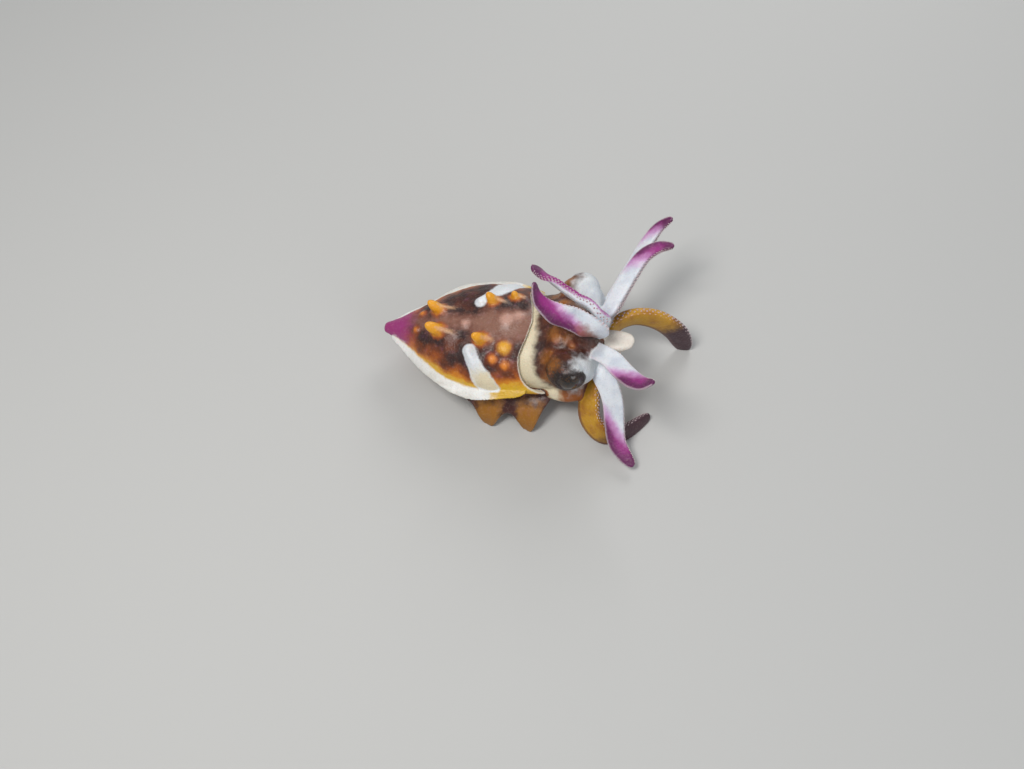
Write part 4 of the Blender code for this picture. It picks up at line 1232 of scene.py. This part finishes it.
def sucker_places():
    """Where the suckers stand on the arms' inner edges, which way they face and how large they are."""
    places, facings, sizes = [], [], []
    for row in ARMS:
        arm = arm_of(row)
        for lane, share in enumerate(SUCKER_LANES):
            t = np.linspace(*SUCKER_SPAN, SUCKERS_IN_ROW) + (lane % 2) * SUCKER_STAGGER
            centre, _, facing, across = arm_frames(arm, t)
            depth, thick = arm_sizes(arm, t)
            seat = depth * along([pair[0] for pair in ARM_SECTION[:3]], np.full(len(t), abs(share)))
            places.append(centre + across * (thick * share)[:, None] + facing * seat[:, None])
            facings.append(unit(facing + across * share * 0.35))
            sizes.append(SUCKER_RADIUS * (0.30 + 0.70 * thick / ARM_HALF_THICKNESS))
    places, facings, sizes = np.vstack(places), np.vstack(facings), np.concatenate(sizes)
    clear = places[:, 2] > SUCKER_CLEARANCE
    return places[clear], facings[clear], sizes[clear]


def sucker_tree():
    """Nodes that stand a cup on every point, with inputs for the cup, its unevenness and its material."""
    tree = bpy.data.node_groups.new("sucker_rows", "GeometryNodeTree")
    for name, kind in (("Points", "Geometry"), ("Cup", "Object"), ("Uneven", "Float"), ("Skin", "Material")):
        tree.interface.new_socket(name, in_out="INPUT", socket_type="NodeSocket" + kind)
    tree.interface.new_socket("Suckers", in_out="OUTPUT", socket_type="NodeSocketGeometry")
    given = node(tree, "NodeGroupInput", {}).outputs
    facing = node(tree, "GeometryNodeInputNamedAttribute", {"Name": "facing"}, data_type="FLOAT_VECTOR")
    turned = node(tree, "FunctionNodeAlignRotationToVector", {"Vector": facing.outputs[0]}, axis="Z")
    size = node(tree, "GeometryNodeInputNamedAttribute", {"Name": "size"}, data_type="FLOAT")
    low, high = (sums(tree, way, 1.0, given["Uneven"]) for way in ("SUBTRACT", "ADD"))
    chance = node(tree, "FunctionNodeRandomValue", {2: low, 3: high, "Seed": 7}, data_type="FLOAT")
    cup = node(tree, "GeometryNodeObjectInfo", {"Object": given["Cup"], "As Instance": True})
    stood = node(tree, "GeometryNodeInstanceOnPoints", {
        "Points": given["Points"],
        "Instance": cup.outputs["Geometry"],
        "Rotation": turned.outputs[0],
        "Scale": sums(tree, "MULTIPLY", size.outputs[0], chance.outputs[1]),
    })
    real = node(tree, "GeometryNodeRealizeInstances", {"Geometry": stood.outputs[0]})
    skinned = node(tree, "GeometryNodeSetMaterial", {"Geometry": real.outputs[0], "Material": given["Skin"]})
    node(tree, "NodeGroupOutput", {0: skinned.outputs[0]})
    return tree


def sucker_material():
    """Cream rims round mauve cups, whose dark hollows are partly the cups' own colour and partly painted
    shade.
    """
    made = plain_material("sucker_flesh", (1, 1, 1, 1), 0.4, 0.3)
    tree = made.node_tree
    place = node(tree, "ShaderNodeTexCoord", {}).outputs["Object"]
    cup = field_share(tree, "cup", 0.1, 0.9, noise_of(tree, place, 2600.0), 0.15)
    # Mauve in each cup's hollow is partly own colour and partly painted shade; the rims are cream
    colour = mixed(tree, cup, linear(126, 70, 98), linear(222, 204, 206))
    fill(tree, tree.nodes["Principled BSDF"], {"Base Color": colour})
    return made


def add_suckers():
    places, facings, sizes = sucker_places()
    cup = placed("sucker_cup", sucker_cup())
    rows = placed("rows", mesh_of("rows", places, []))
    carry(rows.data, "facing", facings)
    carry(rows.data, "size", sizes)
    skin = sucker_material()
    grown = rows.modifiers.new("suckers", "NODES")
    grown.node_group = sucker_tree()
    given = {"Cup": cup, "Uneven": 0.12, "Skin": skin}
    for item in grown.node_group.interface.items_tree:
        if item.in_out == "INPUT" and item.name in given:
            grown[item.identifier] = given[item.name]
    made = evaluated(rows)
    for helper in (rows, cup):
        bpy.data.objects.remove(helper)
    made.name = "suckers"
    made.materials.clear()
    shown("suckers", made, skin)


# View


def set_camera():
    turn, rise = math.radians(VIEW_TURN), math.radians(VIEW_RISE)
    right = Vector((math.cos(turn), math.sin(turn), 0))
    back = Vector((math.sin(turn) * math.cos(rise), -math.cos(turn) * math.cos(rise), math.sin(rise)))
    up = back.cross(right)
    target = Vector(VIEW_TARGET) - Vector(MODEL_CENTRE)
    place = target + right * VIEW_ASIDE - up * VIEW_DOWN + back * VIEW_DISTANCE
    lens = bpy.data.cameras.new("camera")
    lens.sensor_fit = "HORIZONTAL"
    lens.sensor_width = SENSOR_WIDTH
    lens.lens = FOCAL_SHARE * SENSOR_WIDTH
    lens.clip_start = 0.01
    lens.clip_end = 10
    camera = placed("camera", lens)
    camera.matrix_world = Matrix.Translation(place) @ Matrix((right, up, back)).transposed().to_4x4()
    bpy.context.scene.camera = camera


def set_stage():
    floor = bpy.data.meshes.new("floor")
    floor.from_pydata([(-3, -3, 0), (3, -3, 0), (3, 3, 0), (-3, 3, 0)], [], [(0, 1, 2, 3)])
    floor.materials.append(plain_material("floor_paint", (0.50, 0.50, 0.49, 1), 0.8))
    ground = placed("floor", floor)
    for name, place, size, power, colour in LAMPS:
        lamp = bpy.data.lights.new(name, "AREA")
        lamp.shape = "DISK"
        lamp.size = size
        lamp.energy = power
        lamp.color = colour
        aim = (Vector(LAMP_TARGET) - Vector(place)).to_track_quat("-Z", "Y")
        placed(name, lamp).matrix_world = Matrix.Translation(place) @ aim.to_matrix().to_4x4()
    world = bpy.data.worlds.new("studio")
    world.use_nodes = True
    sky = world.node_tree.nodes["Background"]
    fill(world.node_tree, sky, {"Color": (0.86, 0.89, 0.92, 1), "Strength": 0.36})
    bpy.context.scene.world = world
    bpy.context.scene.view_settings.view_transform = "Standard"


make_forms()
skin_piece = make_skin(skin_material())
flesh = [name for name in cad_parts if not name.startswith("eye")]
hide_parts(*flesh)
eye_skin = eye_material()
add_suckers()
add_eye("eye_left", 1, eye_skin)
add_eye("eye_right", -1, eye_skin)
set_camera()
set_stage()
